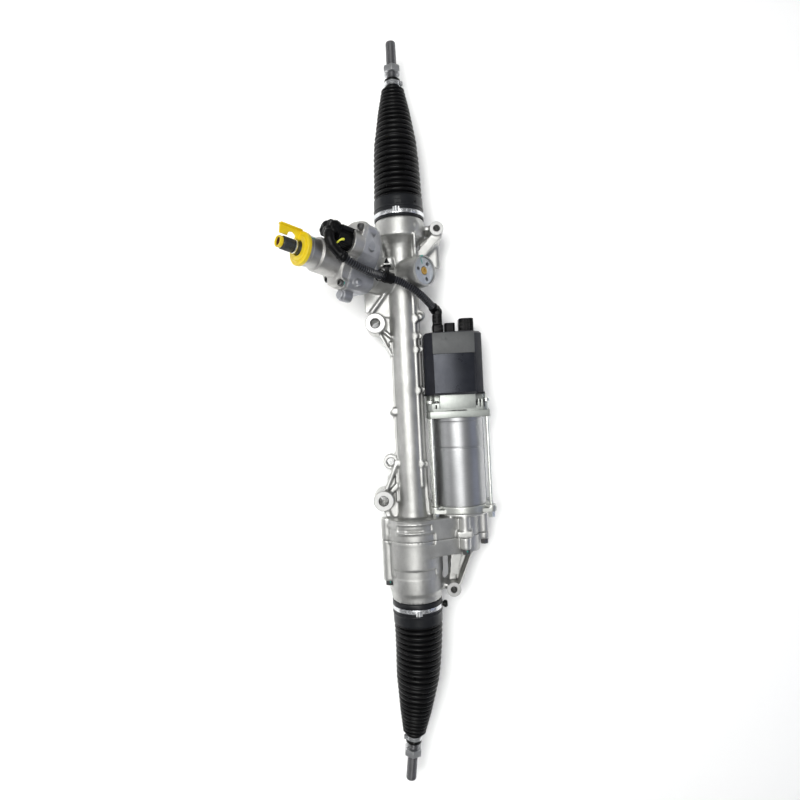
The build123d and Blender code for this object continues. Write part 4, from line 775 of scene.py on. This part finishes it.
def bellows(side, mouth, band0, band1):
    left = side == "left"
    z = 0.35
    out = [(mouth, 33.4), (mouth + z, 34.0), (mouth + 0.9, 34.4), (band0 - 1.5, 34.4), (band0 - 0.9, 34.1), (band0 - 0.7, 33.8), (band1 + 0.7, 33.8),
           (band1 + 0.9, 34.2), (band1 + 1.5, 34.6), (band1 + 2.3, 34.6), (band1 + 3.2, 34.2), (band1 + 4.2, 34.0), (288.0, 33.9), (290.6, 33.75), (292.0, 33.2)]
    collar = shell("bellows_collar_" + side, out, [(mouth, 31.75), (291.9, 31.7)], left, "housing", 144)
    if left:
        win = []
        for a, x in ((-0.125, -3.1), (-0.125, 3.1), (-0.05, 2.9), (0.0, 2.5), (0.05, 2.9), (0.125, 3.1), (0.125, -3.1), (0.06, -2.9), (0.035, -1.5), (-0.035, -1.5), (-0.06, -2.9)):
            win.append((x + 281.7, a * 34 + 1.2))
        cut = join(prism(win, rr(0, 0, 32.75), X3, Y3, 6),
                   rod(rr(283.1, -22.0, 24.4), rr(283.1, -28.0, 31.1), 3.4, seg=36))
        me = bpy.data.meshes.new("cut")
        me.from_pydata([tuple(Vector(p) * 0.001) for p in cut[0]], [], cut[1])
        c = bpy.data.objects.new("cut", me)
        bpy.context.scene.collection.objects.link(c)
        m = collar.modifiers.new("cut", "BOOLEAN")
        m.operation, m.solver, m.object = "DIFFERENCE", "EXACT", c
        bake(collar)
        bpy.data.objects.remove(c)
        boss = lathe([(-1.5, 0), (-1.5, 2.3), (0.3, 2.2), (0.8, 1.8), (0.9, 1.2), (0.6, 0.9), (0.6, 0)], rr(283.1, -22.4, 24.9), Vector((0, -0.668, 0.744)), X3, 32)
        put("bellows_boss_" + side, *boss, "rubber", "housing", "bellows_rubber")
    collar.data.materials[0] = M["collar"]
    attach(collar, "housing")
    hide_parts("bellows_" + side)
    seat, rodb = "seat_" + side, "rod_" + side
    for tag, a, b, ba, bb, s, e in (("pleats", 292, 400.05, "housing", "rack", 292, 400), ("throat", 399.95, 415.05, "rack", seat, 400.5, 414.5), ("cuff", 414.95, 446, seat, rodb, 415.5, 446)):
        o = pleats(a, b)
        i = [(x, interp(CREST, x) - 5.6 + 1.1 * max(0.0, min(1.0, (x - 350) / 90))) for x in np.linspace(a, b if tag != "cuff" else 446, 40)]
        if tag == "cuff":
            o += [(446.4, 14.6), (447.2, 12.4), (448.2, 11.3), (449.6, 10.9), (451.4, 10.9), (452, 10.6), (458.6, 10.6), (459.2, 10.9), (461.4, 10.9), (462, 10.3)]
            i = [(x, r) for x, r in i if x < 443] + [(444, 11.6), (447, 8.4), (462, 8.15)]
        p = shell("bellows_%s_%s" % (tag, side), o, i, left, None, 112)
        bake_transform(p)
        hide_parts("bellows_" + side)


bellows("left", 262.6, 267.5, 275.5)
bellows("right", 259.6, 268.5, 275.5)


# ------------------------------------------------------------------ bellows clamps
def strip(x0, x1, r0, r1, a0, a1, na, nx, hole=None, crown=0.0):
    """Curved band about the rack's axis with openings where hole(i, j) is true. Angles in degrees from the top, positive towards -Y."""
    verts, faces, idx = [], [], {}
    full = abs(a1 - a0) > 359.9

    def vid(i, j, k):
        if full:
            i %= na
        key = (i, j, k)
        if key not in idx:
            a = math.radians(a0 + (a1 - a0) * i / na)
            f = j / nx
            r = (r0, r1)[k] + crown * (1 - (2 * f - 1) ** 4)
            idx[key] = len(verts)
            verts.append(rr(x0 + (x1 - x0) * f, -r * math.sin(a), r * math.cos(a)))
        return idx[key]

    def solid(i, j):
        if full:
            i %= na
        if i < 0 or j < 0 or i >= na or j >= nx:
            return False
        return not (hole and hole(i, j))
    for i in range(na):
        for j in range(nx):
            if not solid(i, j):
                continue
            faces.append((vid(i, j, 1), vid(i + 1, j, 1), vid(i + 1, j + 1, 1), vid(i, j + 1, 1)))
            faces.append((vid(i, j, 0), vid(i, j + 1, 0), vid(i + 1, j + 1, 0), vid(i + 1, j, 0)))
            for di, dj, p, q in ((-1, 0, (i, j), (i, j + 1)), (1, 0, (i + 1, j + 1), (i + 1, j)), (0, -1, (i + 1, j), (i, j)), (0, 1, (i, j + 1), (i + 1, j + 1))):
                if not solid(i + di, j + dj):
                    faces.append((vid(*p, 0), vid(*q, 0), vid(*q, 1), vid(*p, 1)))
    return verts, faces


def polar(x, r, deg):
    a = math.radians(deg)
    return rr(x, -r * math.sin(a), r * math.cos(a))


def ear(x0, x1, r0, h, mid, half, wall=0.9, steps=14):
    """Pinched ear: an omega-shaped ribbon standing on the band, extruded along X."""
    a = math.radians(mid)
    rad, tan = Vector((0, -math.sin(a), math.cos(a))), Vector((0, -math.cos(a), -math.sin(a)))
    o = rr(0, 0, 0) + rad * r0

    def line(off):
        pts = [(-half * 1.35, 0.0 + off), (-half * 0.95, 0.15 + off)]
        for k in range(steps + 1):
            t = math.pi * (1 - k / steps)
            pts.append((math.cos(t) * (half * 0.86 - 0.9 + off), h - half * 0.8 + math.sin(t) * (half * 0.8 - 0.9 + off)))
        pts += [(half * 0.95, 0.15 + off), (half * 1.35, 0.0 + off)]
        return pts
    outer, inner = line(wall), line(0.0)
    loop = outer + list(reversed(inner))
    n = len(loop)
    verts = [o + tan * p + rad * q + X3 * x for x in (x0, x1) for p, q in loop]
    faces = [(k, (k + 1) % n, (k + 1) % n + n, k + n) for k in range(n)]
    m = len(outer)
    for k in range(m - 1):
        faces.append((k, n - 1 - k, n - 2 - k, k + 1))
        faces.append((n + k, n + k + 1, n + n - 2 - k, n + n - 1 - k))
    return verts, faces


def big_clamp(side, x0, x1, lock, plate, out):
    """Stepless clamp: band, overlap plate with slots, crimped lock."""
    w = x1 - x0
    base = strip(x0, x1, 33.95, 34.85, 0, 360, 240, 6, crown=0.1)
    na = 84
    a0, a1 = plate
    per = (a1 - a0) / na

    def slots(i, j):
        a = a0 + per * (i + 0.5)
        if not 2 <= j <= 7:
            return False
        for c, h in ((a0 + 5, 1.5), (a0 + 9.5, 1.1), (a0 + 14, 0.9), (a1 - 3.5, 1.6), (a1 - 13, 0.6)):
            if abs(a - c) < h:
                return True
        return False
    over = strip(x0 + 0.4, x1 - 0.4, 34.85, 35.45, a0, a1, na, 10, slots, crown=0.12)
    tongue = strip(x0 + w * 0.28, x1 - w * 0.28, 34.9, 35.7, a1 - 0.5, a1 + 9, 18, 4, crown=0.1)
    hook = strip(x0 + w * 0.15, x1 - w * 0.15, 34.85, 35.5, a1 + 10, a1 + 24, 26, 6, lambda i, j: 8 <= i <= 11 and 2 <= j <= 3, crown=0.1)
    la, lb = (x0 + 1.0, x1 + 2.2) if out > 0 else (x0 - 2.2, x1 - 1.0)
    lk = ear(la, lb, 35.2, 2.7, lock, 3.2)
    inner = ear(la + 1.4, lb - 1.6, 35.2, 2.5, lock, 2.5)
    put("clamp_band_" + side, *join(base, over), "clampband", "housing", "zinc_steel", sharp=30, stand_for=("bellows_clamp_" + side,))
    put("clamp_tongue_" + side, *join(tongue, hook), "clampband", "housing", "zinc_steel", sharp=30, stand_for=("bellows_clamp_" + side,))
    put("clamp_lock_" + side, *join(lk, inner), "zinc", "housing", "zinc_steel", sharp=30, stand_for=("bellows_clamp_" + side,))


big_clamp("left", 266.0, 271.4, -6.0, (-33, 19), 1)
big_clamp("right", -272.2, -266.8, 1.8, (-28, 14), -1)


def small_clamp(side):
    left = side == "left"
    c, d = (BL, X3) if left else (BR, DR)
    a, x, y = basis(d, Z3)
    s0 = 116.0
    o = c + d * s0
    band = lathe([(0, 10.55), (0.3, 10.8), (0.3, 11.4), (5.7, 11.4), (5.7, 10.8), (6, 10.55)], o, d, Z3, 96, True)
    th = math.radians(70)
    rad = x * math.cos(th) + y * math.sin(th)
    tan = -x * math.sin(th) + y * math.cos(th)
    loop = [(-3.2, 0.0), (-2.2, 0.8), (-1.3, 3.2), (0, 3.9), (1.3, 3.2), (2.2, 0.8), (3.2, 0.0), (2.5, -0.2), (1.5, 0.6), (0.7, 2.5), (0, 2.9), (-0.7, 2.5), (-1.5, 0.6), (-2.5, -0.2)]
    n = len(loop)
    verts = [o + d * s + rad * (11.3 + q) + tan * p for s in (0.6, 5.4) for p, q in loop]
    faces = [(k, (k + 1) % n, (k + 1) % n + n, k + n) for k in range(n)]
    for k in range(n // 2 - 1):
        faces.append((k, k + 1, n - 2 - k, n - 1 - k))
        faces.append((n + k + 1, n + k, 2 * n - 1 - k, 2 * n - 2 - k))
    put("small_clamp_" + side, *join(band, (verts, faces)), "clampband", "rod_" + side, "zinc_steel", sharp=30, stand_for=("bellows_small_clamp_" + side,))


small_clamp("left")
small_clamp("right")
crisp("vent_knob", "black", 0.8, 3)


# ------------------------------------------------------------------ tie rods
def tie_rod(side):
    c, d = (BL, X3) if side == "left" else (BR, DR)
    a, x, y = basis(d, Z3)
    L = 179.0
    prof = [(math.cos(math.radians(t)) * -15, math.sin(math.radians(t)) * 15) for t in range(0, 154, 6)]
    prof = [(p, max(0.0, q)) for p, q in prof if p < 13.2]
    prof += [(13.4, 6.85), (26, 6.85), (34, 8.0), (L - 53, 8.0), (L - 51.5, 7.6), (L - 50.2, 6.2)]
    body = lathe(prof + [(L - 49.9, 0)], c, d, Z3, 64)
    # wrench flats under the cuff's clamp are left round; the thread is a true helix
    seg, verts, faces, rings = 40, [], [], 0
    s = L - 50.4
    while s <= L + 0.001:
        for k in range(seg):
            t = 2 * math.pi * k / seg
            ph = (s / 1.5 - k / seg) % 1.0
            r = 7.0 - 0.86 * (1 - abs(2 * ph - 1)) ** 1.0 if 0.08 < ph < 0.92 else 7.0
            r = min(r, 7.0 - max(0.0, s - (L - 1.2)) * 0.95)
            verts.append(c + d * s + x * (r * math.cos(t)) + y * (r * math.sin(t)))
        rings += 1
        s += 0.25
    for i in range(rings - 1):
        for k in range(seg):
            k2 = (k + 1) % seg
            faces.append((i * seg + k, (i + 1) * seg + k, (i + 1) * seg + k2, i * seg + k2))
    faces.append(tuple(range(seg)))
    faces.append(tuple(reversed(range((rings - 1) * seg, rings * seg))))
    put("tie_rod_%s_shown" % side, *join(body, (verts, faces)), "phosphate", "rod_" + side, "dark_steel", sharp=40, stand_for=("tie_rod_" + side,))


tie_rod("left")
tie_rod("right")


# ------------------------------------------------------------------ harness
ROUTE = [wp(137.8, 17, -29.7), wp(138.8, 9.8, -31), wp(131.2, -0.7, -33.7), wp(115, -9, -36.3), wp(98, -14, -39),
         wp(79, -15.5, -39.5), rr(178.6, 31.5, 57.0), rr(177.0, 19.0, 45.5), rr(172.6, 1.5, 37.5),
         rr(162.2, -15.5, 31.0), rr(154.0, -27.5, 21.5), rr(146.5, -36, 11.0), rr(140.5, -43.0, 1.5)]


def nurbs_points(pts):
    cu = bpy.data.curves.new("route", "CURVE")
    cu.dimensions = "3D"
    cu.resolution_u = 24
    sp = cu.splines.new("NURBS")
    sp.points.add(len(pts) - 1)
    for q, p in zip(sp.points, pts):
        q.co = (*(Vector(p) * 0.001), 1)
    sp.order_u = 3
    sp.use_endpoint_u = True
    o = bpy.data.objects.new("route", cu)
    bpy.context.scene.collection.objects.link(o)
    me = bpy.data.meshes.new_from_object(o)
    out = [v.co * 1000 for v in me.vertices]
    bpy.data.objects.remove(o)
    bpy.data.curves.remove(cu)
    bpy.data.meshes.remove(me)
    return out


def swept(points, stations, seg=28, cap=True, flat=1.0):
    """Tube along points. stations: (distance along the path, radius)."""
    acc = [0.0]
    for a, b in zip(points, points[1:]):
        acc.append(acc[-1] + (b - a).length)

    def at(s):
        if s <= 0:
            return points[0] + (points[0] - points[1]).normalized() * -s
        if s >= acc[-1]:
            return points[-1] + (points[-1] - points[-2]).normalized() * (s - acc[-1])
        i = max(0, next(k for k, v in enumerate(acc) if v >= s) - 1)
        f = (s - acc[i]) / max(1e-9, acc[i + 1] - acc[i])
        return points[i].lerp(points[i + 1], f)
    verts, faces = [], []
    x = None
    for s, r in stations:
        c = at(s)
        d = (at(s + 0.6) - at(s - 0.6)).normalized()
        if x is None:
            x = Z3 if abs(d.z) < 0.9 else X3
        x = (x - d * x.dot(d)).normalized()
        y = d.cross(x)
        for k in range(seg):
            t = 2 * math.pi * k / seg
            verts.append(c + x * (r * math.cos(t)) + y * (r * flat * math.sin(t)))
    n = len(stations)
    for i in range(n - 1):
        for k in range(seg):
            k2 = (k + 1) % seg
            faces.append((i * seg + k, (i + 1) * seg + k, (i + 1) * seg + k2, i * seg + k2))
    if cap:
        faces.append(tuple(range(seg)))
        faces.append(tuple(reversed(range((n - 1) * seg, n * seg))))
    return verts, faces


def blob(t, x, y, a, b, c, seg=24):
    """Egg shape standing in the pinion's frame."""
    verts, faces = [wp(t - a, x, y)], []
    rows = 12
    for i in range(1, rows):
        th = math.pi * i / rows
        for k in range(seg):
            f = 2 * math.pi * k / seg
            verts.append(wp(t - a * math.cos(th), x + b * math.sin(th) * math.cos(f), y + c * math.sin(th) * math.sin(f)))
    verts.append(wp(t + a, x, y))
    for k in range(seg):
        k2 = (k + 1) % seg
        faces.append((0, 1 + k2, 1 + k))
        for i in range(rows - 2):
            p = 1 + i * seg
            faces.append((p + k, p + k2, p + seg + k2, p + seg + k))
        q = 1 + (rows - 2) * seg
        faces.append((q + k, q + k2, len(verts) - 1))
    return verts, faces


PATH = nurbs_points(ROUTE)
LENGTH = sum((b - a).length for a, b in zip(PATH, PATH[1:]))
st = []
s_ = 35.0
while s_ < LENGTH - 2.4:
    st += [(s_, 4.15), (s_ + 0.9, 4.15), (s_ + 1.25, 4.95), (s_ + 1.5, 5.2), (s_ + 2.6, 5.2), (s_ + 2.85, 4.95)]
    s_ += 3.2
st += [(s_, 4.35), (LENGTH, 4.35)]
put("conduit_shown", *swept(PATH, st, 30), "conduit", "housing", "black_plastic", sharp=24, stand_for=("harness_conduit",))

# sensor plug: round body in its cup, lumpy head, boot running down to the ribbed tube
boot = swept(PATH, [(-6, 4.5), (-4, 6.4), (0, 6.9), (6, 6.5), (14, 6.1), (26, 5.9), (27.2, 6.3), (27.8, 7.0), (29.2, 7.2), (29.8, 6.6), (30.6, 6.5),
                    (31.2, 7.1), (33.5, 7.3), (35.6, 7.2), (36.4, 6.4), (37.0, 5.5), (37.2, 4.6)], 28)
head = join(
    blob(131.5, 27.5, -12.5, 8.5, 6.5, 6.0), blob(133.5, 33.0, -20.0, 7.5, 5.2, 6.5), blob(131.5, 29.0, -33.5, 8.5, 6.8, 5.8),
    blob(134.5, 24.5, -23.0, 6.2, 7.5, 8.5), blob(133.0, 22.5, -33.5, 6.5, 4.5, 5.0), blob(126.0, 18.0, -21.5, 5.0, 4.0, 5.0),
    prism([(-8.6, -8.6), (8.6, -8.6), (8.6, 8.6), (-8.6, 8.6)], wp(104, 17.7, -30), XD, P.cross(XD), 24.5),
    lathe([(0, 0), (0, 12.2), (9.6, 12.2), (10.6, 11.2), (10.6, 0)], wp(98.6, 17.5, -29.5), P, XD, 64),
    prism(round_rect(6.5, 13, 2.4, (0, 0)), wp(108, 27.6, -36), XD, P.cross(XD), 19),
    boot)
o = cast("sensor_plug", "black", 0.5, 2, 0.5, extra=head)

# latch bow over the plug's side
bow = [wp(128.0, 6.4, -28.6), wp(128.9, 7.0, -31.5), wp(129.2, 8.2, -35.0), wp(128.6, 10.2, -38.0), wp(127.0, 12.0, -39.7), wp(124.0, 12.6, -40.3), wp(122.4, 12.9, -40.5)]
put("latch_bow", *swept(nurbs_points(bow), [(0, 0.35), (0.5, 0.8), (3, 1.0), (8, 1.15), (11, 1.35), (14, 1.8), (16.6, 1.9), (17.6, 1.1)], 20, flat=0.8),
    "lever", "housing", "yellow_plastic", sharp=30, stand_for=("sensor_plug_lock",))
crisp("harness_clip", "black", 0.3, 2)
for a_, b_ in ((95.5, 98.0), (106.5, 109.0)):
    put("clip_band_%d" % int(a_), *swept(PATH, [(a_, 7.0), (a_, 7.75), (b_, 7.75), (b_, 7.0)], 40, cap=False), "black", "housing", "black_plastic", sharp=30)


# ------------------------------------------------------------------ control unit
def placed(v, f):
    me = bpy.data.meshes.new("tool")
    me.from_pydata([tuple(Vector(p) * 0.001) for p in v], [], f)
    bm = bmesh.new()
    bm.from_mesh(me)
    bmesh.ops.recalc_face_normals(bm, faces=bm.faces)
    bm.to_mesh(me)
    bm.free()
    o = bpy.data.objects.new("tool", me)
    bpy.context.scene.collection.objects.link(o)
    return o


def carve(o, v, f):
    t = placed(v, f)
    m = o.modifiers.new("carve", "BOOLEAN")
    m.operation = "DIFFERENCE"
    m.solver = "EXACT"
    m.object = t
    bake(o)
    bpy.data.objects.remove(t)


o = copy_of("ecu_housing", "ecu_housing_shown")
bm = bmesh.new()
bm.from_mesh(o.data)
bmesh.ops.remove_doubles(bm, verts=bm.verts, dist=2e-6)
bmesh.ops.dissolve_limit(bm, angle_limit=math.radians(1.2), verts=bm.verts, edges=bm.edges)
bm.to_mesh(o.data)
bm.free()
o.data.materials.append(M["ecu"])
carve(o, *box(rr(21.4, EY - 28, EZ + 31.2), rr(75.2, EY + 28, EZ + 40)))
bevelled(o, 0.8, 3, 30)
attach(o, "housing")
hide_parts("ecu_housing")

arc = [(-27.7, 31.0)] + [(-27.7 + 55.4 * k / 32, 33.9 - 2.6 * ((-27.7 + 55.4 * k / 32) / 27.7) ** 2) for k in range(33)] + [(27.7, 31.0)]
v, f = prism([(a, b) for a, b in reversed(arc)], rr(21.9, EY, EZ), Y3, Z3, 53.0)
o = put("ecu_barrel", v, f, "ecubarrel", "housing", None, sharp=30)
# painted reflection: the panel and its marks use the lighter grey that stands for the flat face's reflection
v, f = prism(round_rect(57.0, 4.2, 0.9, (0, 33.2)), rr(75.0, EY, EZ), Y3, Z3, 28.6)
o = put("ecu_panel", v, f, "ecugrey", "housing", None, sharp=30)
bevelled(o, 0.5, 2, 40)
parts = []
for x, y, a, b in ((96.0, 13.0, 3.0, 1.0), (94.8, 9.8, 1.6, 1.6), (95.0, -6.0, 1.1, 1.1)):
    parts.append(lathe([(0, 0), (0, a), (0.25, a), (0.45, a - 0.35), (0.45, 0)], rr(x, EY + y, EZ + 35.2), Z3, X3, 20))
put("ecu_panel_marks", *join(*parts), "ecugrey", "housing", None, sharp=30)
# seam between the control housing and the bracket, proud ring with its gasket line
v, f = prism(round_rect(83.4, 65.4, 12.6), rr(19.2, EY, EZ), Y3, Z3, 0.9)
put("ecu_gasket", v, f, "seal", "housing", None, sharp=30)

# harness plug on the control unit: side ribs, latch and slanted collar
parts = []
for k in range(4):
    parts.append(box(rr(107.5 + 5.2 * k, -52.2, 6.85), rr(109.6 + 5.2 * k, -41.0, 7.6)))
parts.append(box(rr(118.5, -48.6, 5.4), rr(131.8, -44.6, 6.4)))
parts.append(box(rr(129.4, -50.4, 5.0), rr(131.6, -42.8, 6.7)))
o = put("ecu_plug_ribs", *join(*parts), "black", "housing", None, sharp=30)
bevelled(o, 0.3, 2, 40)
put("ecu_plug_collar", *swept(PATH, [(LENGTH - 4.5, 5.0), (LENGTH - 4.2, 6.6), (LENGTH - 0.5, 7.0), (LENGTH + 0.6, 6.6), (LENGTH + 1.2, 7.2), (LENGTH + 3.6, 7.4), (LENGTH + 4.2, 6.9), (LENGTH + 9.5, 6.9), (LENGTH + 10.5, 6.0)], 36),
    "black", "housing", None, sharp=30)
parts = []
for k in range(3):
    parts.append(box(rr(105.3 + 5.2 * k, -76.6 + 0.2, 15.0), rr(107.2 + 5.2 * k, -94.4, 15.7)))
for y in (-81.5, -85.5, -89.5):
    parts.append(box(rr(105.3, y - 0.6, 14.9), rr(122.8, y + 0.6, 16.0)))
o = put("power_socket_ribs", *join(*parts), "black", "housing", None, sharp=30)
bevelled(o, 0.25, 2, 40)
parts = []
for y in (-59.5, -66.5):
    parts.append(box(rr(105.3, y - 0.7, 9.9), rr(118.0, y + 0.7, 10.8)))
o = put("signal_socket_ribs", *join(*parts), "black", "housing", None, sharp=30)
bevelled(o, 0.25, 2, 40)

# ------------------------------------------------------------------ bracket between motor and control unit
BY = MY + 1.5
# painted shade: thin near-black strips on the bracket stand for the shade in its slots; no slots are cut
parts = []
for y0, y1, x0, x1 in ((28.5, 31.0, 0.6, 6.0), (-23.5, -26.5, 3.0, 9.5), (-29.8, -31.0, 1.0, 10.0), (-34.6, -36.0, 1.0, 10.0)):
    parts.append(box(rr(x0, BY + min(y0, y1), MZ + 31.2), rr(x1, BY + max(y0, y1), MZ + 32.12)))
put("bracket_slot_shade", *join(*parts), "dark", "housing", None, sharp=30)
parts = []
for y0, y1, x0, x1 in ((24.9, 27.0, 0.6, 7.4), (32.4, 34.6, 0.6, 7.4), (-27.2, -29.2, 1.0, 12.0), (-31.6, -34.0, 1.0, 12.0)):
    parts.append(box(rr(x0, BY + min(y0, y1), MZ + 31.0), rr(x1, BY + max(y0, y1), MZ + 32.6)))
o = put("bracket_ribs", *join(*parts), "bracket", "housing", None, sharp=30)
bevelled(o, 0.35, 2, 40)
# centre panel, proud of the bracket
o = put("bracket_panel", *prism(round_rect(48.6, 2.6, 0.5, (0.2, 31.6)), rr(0.3, BY, MZ), Y3, Z3, 18.0), "bracket", "housing", None, sharp=30)
bevelled(o, 0.4, 2, 40)

# ------------------------------------------------------------------ paint marks
def stripe(name, pts, w, lift, up, mat="teal"):
    """Thin painted stroke along points, w wide."""
    verts, faces = [], []
    n = len(pts)
    for i, p in enumerate(pts):
        d = (pts[min(i + 1, n - 1)] - pts[max(i - 1, 0)]).normalized()
        side = d.cross(Vector(up)).normalized()
        ww = w * (0.75 + 0.25 * math.sin(i * 1.9))
        verts += [p + side * (ww / 2), p - side * (ww / 2), p - side * (ww / 2) + Vector(up) * lift, p + side * (ww / 2) + Vector(up) * lift]
    for i in range(n - 1):
        a = 4 * i
        for k in range(4):
            faces.append((a + k, a + (k + 1) % 4, a + 4 + (k + 1) % 4, a + 4 + k))
    faces.append((3, 2, 1, 0))
    a = 4 * (n - 1)
    faces.append((a, a + 1, a + 2, a + 3))
    return put(name, verts, faces, mat, "housing", None, sharp=30)


def yp(r, deg, s):
    a = math.radians(deg)
    return YO + U * s + X3 * (r * math.cos(a)) + U.cross(X3) * (r * math.sin(a))


stripe("mark_yoke_plug", [yp(9.6, 21, 43.58), yp(12, 20, 43.58), yp(15, 20.5, 43.58), yp(17.2, 19, 43.58)], 1.5, 0.12, U)
stripe("mark_yoke_rim", [yp(19.6, 9, 45.1), yp(19.7, 15, 45.1), yp(19.6, 22, 45.1), yp(19.7, 29, 45.1)], 1.9, 0.14, U)
stripe("mark_bolt", [wp(100.05, -33.2, -13.4), wp(100.05, -31.4, -15.4), wp(100.05, -28.8, -15.9)], 2.2, 0.14, P)
a_ = math.radians(-52)
stripe("mark_neck", [wp(t, 19.3 * math.cos(a_), 19.3 * math.sin(a_)) for t in (147.5, 149.5, 151.5, 153.5)], 1.7, 0.14, XD * math.cos(a_) - U * math.sin(a_))
put("neck_rim", *lathe([(149.6, 19.1), (149.8, 19.42), (150.5, 19.45), (150.7, 19.1)], A0, P, XD, 96), "milled", "housing", None, sharp=30)


# ------------------------------------------------------------------ machined edge of the sensor cover's joint
LID = [(-18.9, 25.8), (-27.5, 17.3), (-31.9, 9.5), (-35.9, 1), (-37, -7), (-35, -13.5), (-28, -16.5), (-23.8, -15.7),
       (-16.7, -18.9), (-9.9, -22.8), (-0.2, -33), (6.9, -39.8), (16.8, -43.8), (26.8, -47.3), (33.1, -49.5),
       (38.5, -49.5), (42.5, -46), (44.7, -38), (46.7, -25), (45.2, -16.5), (41.9, -8), (36, 6), (24, 22), (8, 31),
       (-6, 32.5)]


def rounded(pts, times=2):
    for _ in range(times):
        out = []
        for i, p in enumerate(pts):
            q = pts[(i + 1) % len(pts)]
            out.append((0.75 * p[0] + 0.25 * q[0], 0.75 * p[1] + 0.25 * q[1]))
            out.append((0.25 * p[0] + 0.75 * q[0], 0.25 * p[1] + 0.75 * q[1]))
        pts = out
    return pts


def grown(pts, by):
    out = []
    n = len(pts)
    area2 = sum(pts[i][0] * pts[(i + 1) % n][1] - pts[(i + 1) % n][0] * pts[i][1] for i in range(n))
    sg = 1 if area2 > 0 else -1
    for i in range(n):
        a, b = Vector((*pts[i - 1], 0)), Vector((*pts[(i + 1) % n], 0))
        d = (b - a).normalized()
        out.append((pts[i][0] + sg * d.y * by, pts[i][1] - sg * d.x * by))
    return out


loop = rounded(LID)
rings = [(93.3, grown(loop, -1.4)), (93.4, grown(loop, 0.15)), (93.9, grown(loop, 0.45)), (94.7, grown(loop, 0.45)), (95.2, grown(loop, 0.1)), (95.3, grown(loop, -1.4))]
verts = [wp(t, x, y) for t, ring_ in rings for x, y in ring_]
n_ = len(loop)
faces = [(i * n_ + k, ((i + 1) % len(rings)) * n_ + k, ((i + 1) % len(rings)) * n_ + (k + 1) % n_, i * n_ + (k + 1) % n_) for i in range(len(rings)) for k in range(n_)]
put("cover_joint_edge", verts, faces, "milled", "housing", "cast_aluminium", sharp=40)

# strap over the bracket's foot and the plug's hump on the control unit
o = put("bracket_strap", *prism(round_rect(80, 2.4, 0.6, (0, 31.3)), rr(-12.3, MY, MZ), Y3, Z3, 9.2), "bracket", "housing", None, sharp=30)
bevelled(o, 0.4, 2, 40)
o = put("ecu_plug_hump", *box(rr(130.5, -53.6, -5), rr(137.6, -42.6, 5.6)), "black", "housing", None, sharp=30)
bevelled(o, 1.8, 3, 40)

for k, ((y, z), x) in enumerate((((37, 10), -231), ((-69.4, 21.6), -191))):
    stripe("mark_drive_bolt_%d" % k, [rr(x - 0.4, y - 1.2, z + 5.4), rr(x - 2.2, y - 0.7, z + 5.5), rr(x - 3.4, y - 0.9, z + 5.2)], 1.7, 0.14, Z3)
# ------------------------------------------------------------------ camera, light and floor
SWING = math.radians(2.8)
cs, sn = math.cos(SWING), math.sin(SWING)
cam_data = bpy.data.cameras.new("camera")
cam_data.lens = 24.12
cam_data.sensor_width = 36
cam_data.clip_start, cam_data.clip_end = 0.01, 20
cam = bpy.data.objects.new("camera", cam_data)
bpy.context.scene.collection.objects.link(cam)
rot = Matrix(((-sn, cs, 0), (-cs, -sn, 0), (0, 0, 1)))
cam.matrix_world = Matrix.Translation((0.01535, -0.0287, 0.772)) @ rot.to_4x4()
bpy.context.scene.camera = cam


def area(name, loc, target, size, power, color=(1, 1, 1), size_y=None):
    d = bpy.data.lights.new(name, "AREA")
    d.shape = "RECTANGLE" if size_y else "SQUARE"
    d.size = size
    if size_y:
        d.size_y = size_y
    d.energy = power
    d.color = color
    o = bpy.data.objects.new(name, d)
    bpy.context.scene.collection.objects.link(o)
    o.location = loc
    aim = Vector(target) - Vector(loc)
    o.rotation_mode = "QUATERNION"
    o.rotation_quaternion = aim.to_track_quat("-Z", "Y")
    return o


area("key", (0.25, 0.35, 1.5), (0, -0.03, 0), 0.9, 9.5, (1.0, 1.0, 0.98), 0.5)
area("strip", (0.0, -0.02, 1.35), (0, -0.04, 0), 1.7, 7, (1.0, 1.0, 0.98), 0.32)
area("fill_right", (-0.1, -1.3, 0.5), (0, -0.05, 0), 1.2, 0.9, (0.55, 0.64, 1.0), 0.6)
area("fill_left", (0.1, 1.3, 0.6), (0, -0.05, 0), 1.2, 2.6, (1.0, 1.0, 1.0), 0.6)

world = bpy.data.worlds.new("studio")
bpy.context.scene.world = world
world.use_nodes = True
bg = world.node_tree.nodes["Background"]
bg.inputs[0].default_value = (0.86, 0.87, 0.88, 1)
bg.inputs[1].default_value = 0.26

fm, fnt, fb, fco = nodes_of("floor")
fb.inputs["Base Color"].default_value = (0.95, 0.95, 0.95, 1)
fb.inputs["Roughness"].default_value = 0.9
fb.inputs["Specular IOR Level"].default_value = 0.1
fme = bpy.data.meshes.new("floor")
S_ = 6.0
ZF = CAD_BOX[0][2] - 0.0005
fme.from_pydata([(-S_, -S_, ZF), (S_, -S_, ZF), (S_, S_, ZF), (-S_, S_, ZF)], [], [(0, 1, 2, 3)])
fme.materials.append(fm)
floor = bpy.data.objects.new("floor", fme)
bpy.context.scene.collection.objects.link(floor)
wash = area("floor_wash", (0.0, 0.0, 2.0), (0, 0, 0), 3.0, 14, (1.0, 1.0, 1.0))
only = bpy.data.collections.new("floor_only")
bpy.context.scene.collection.children.link(only)
only.objects.link(floor)
wash.light_linking.receiver_collection = only
bpy.context.scene.view_settings.view_transform = "Standard"
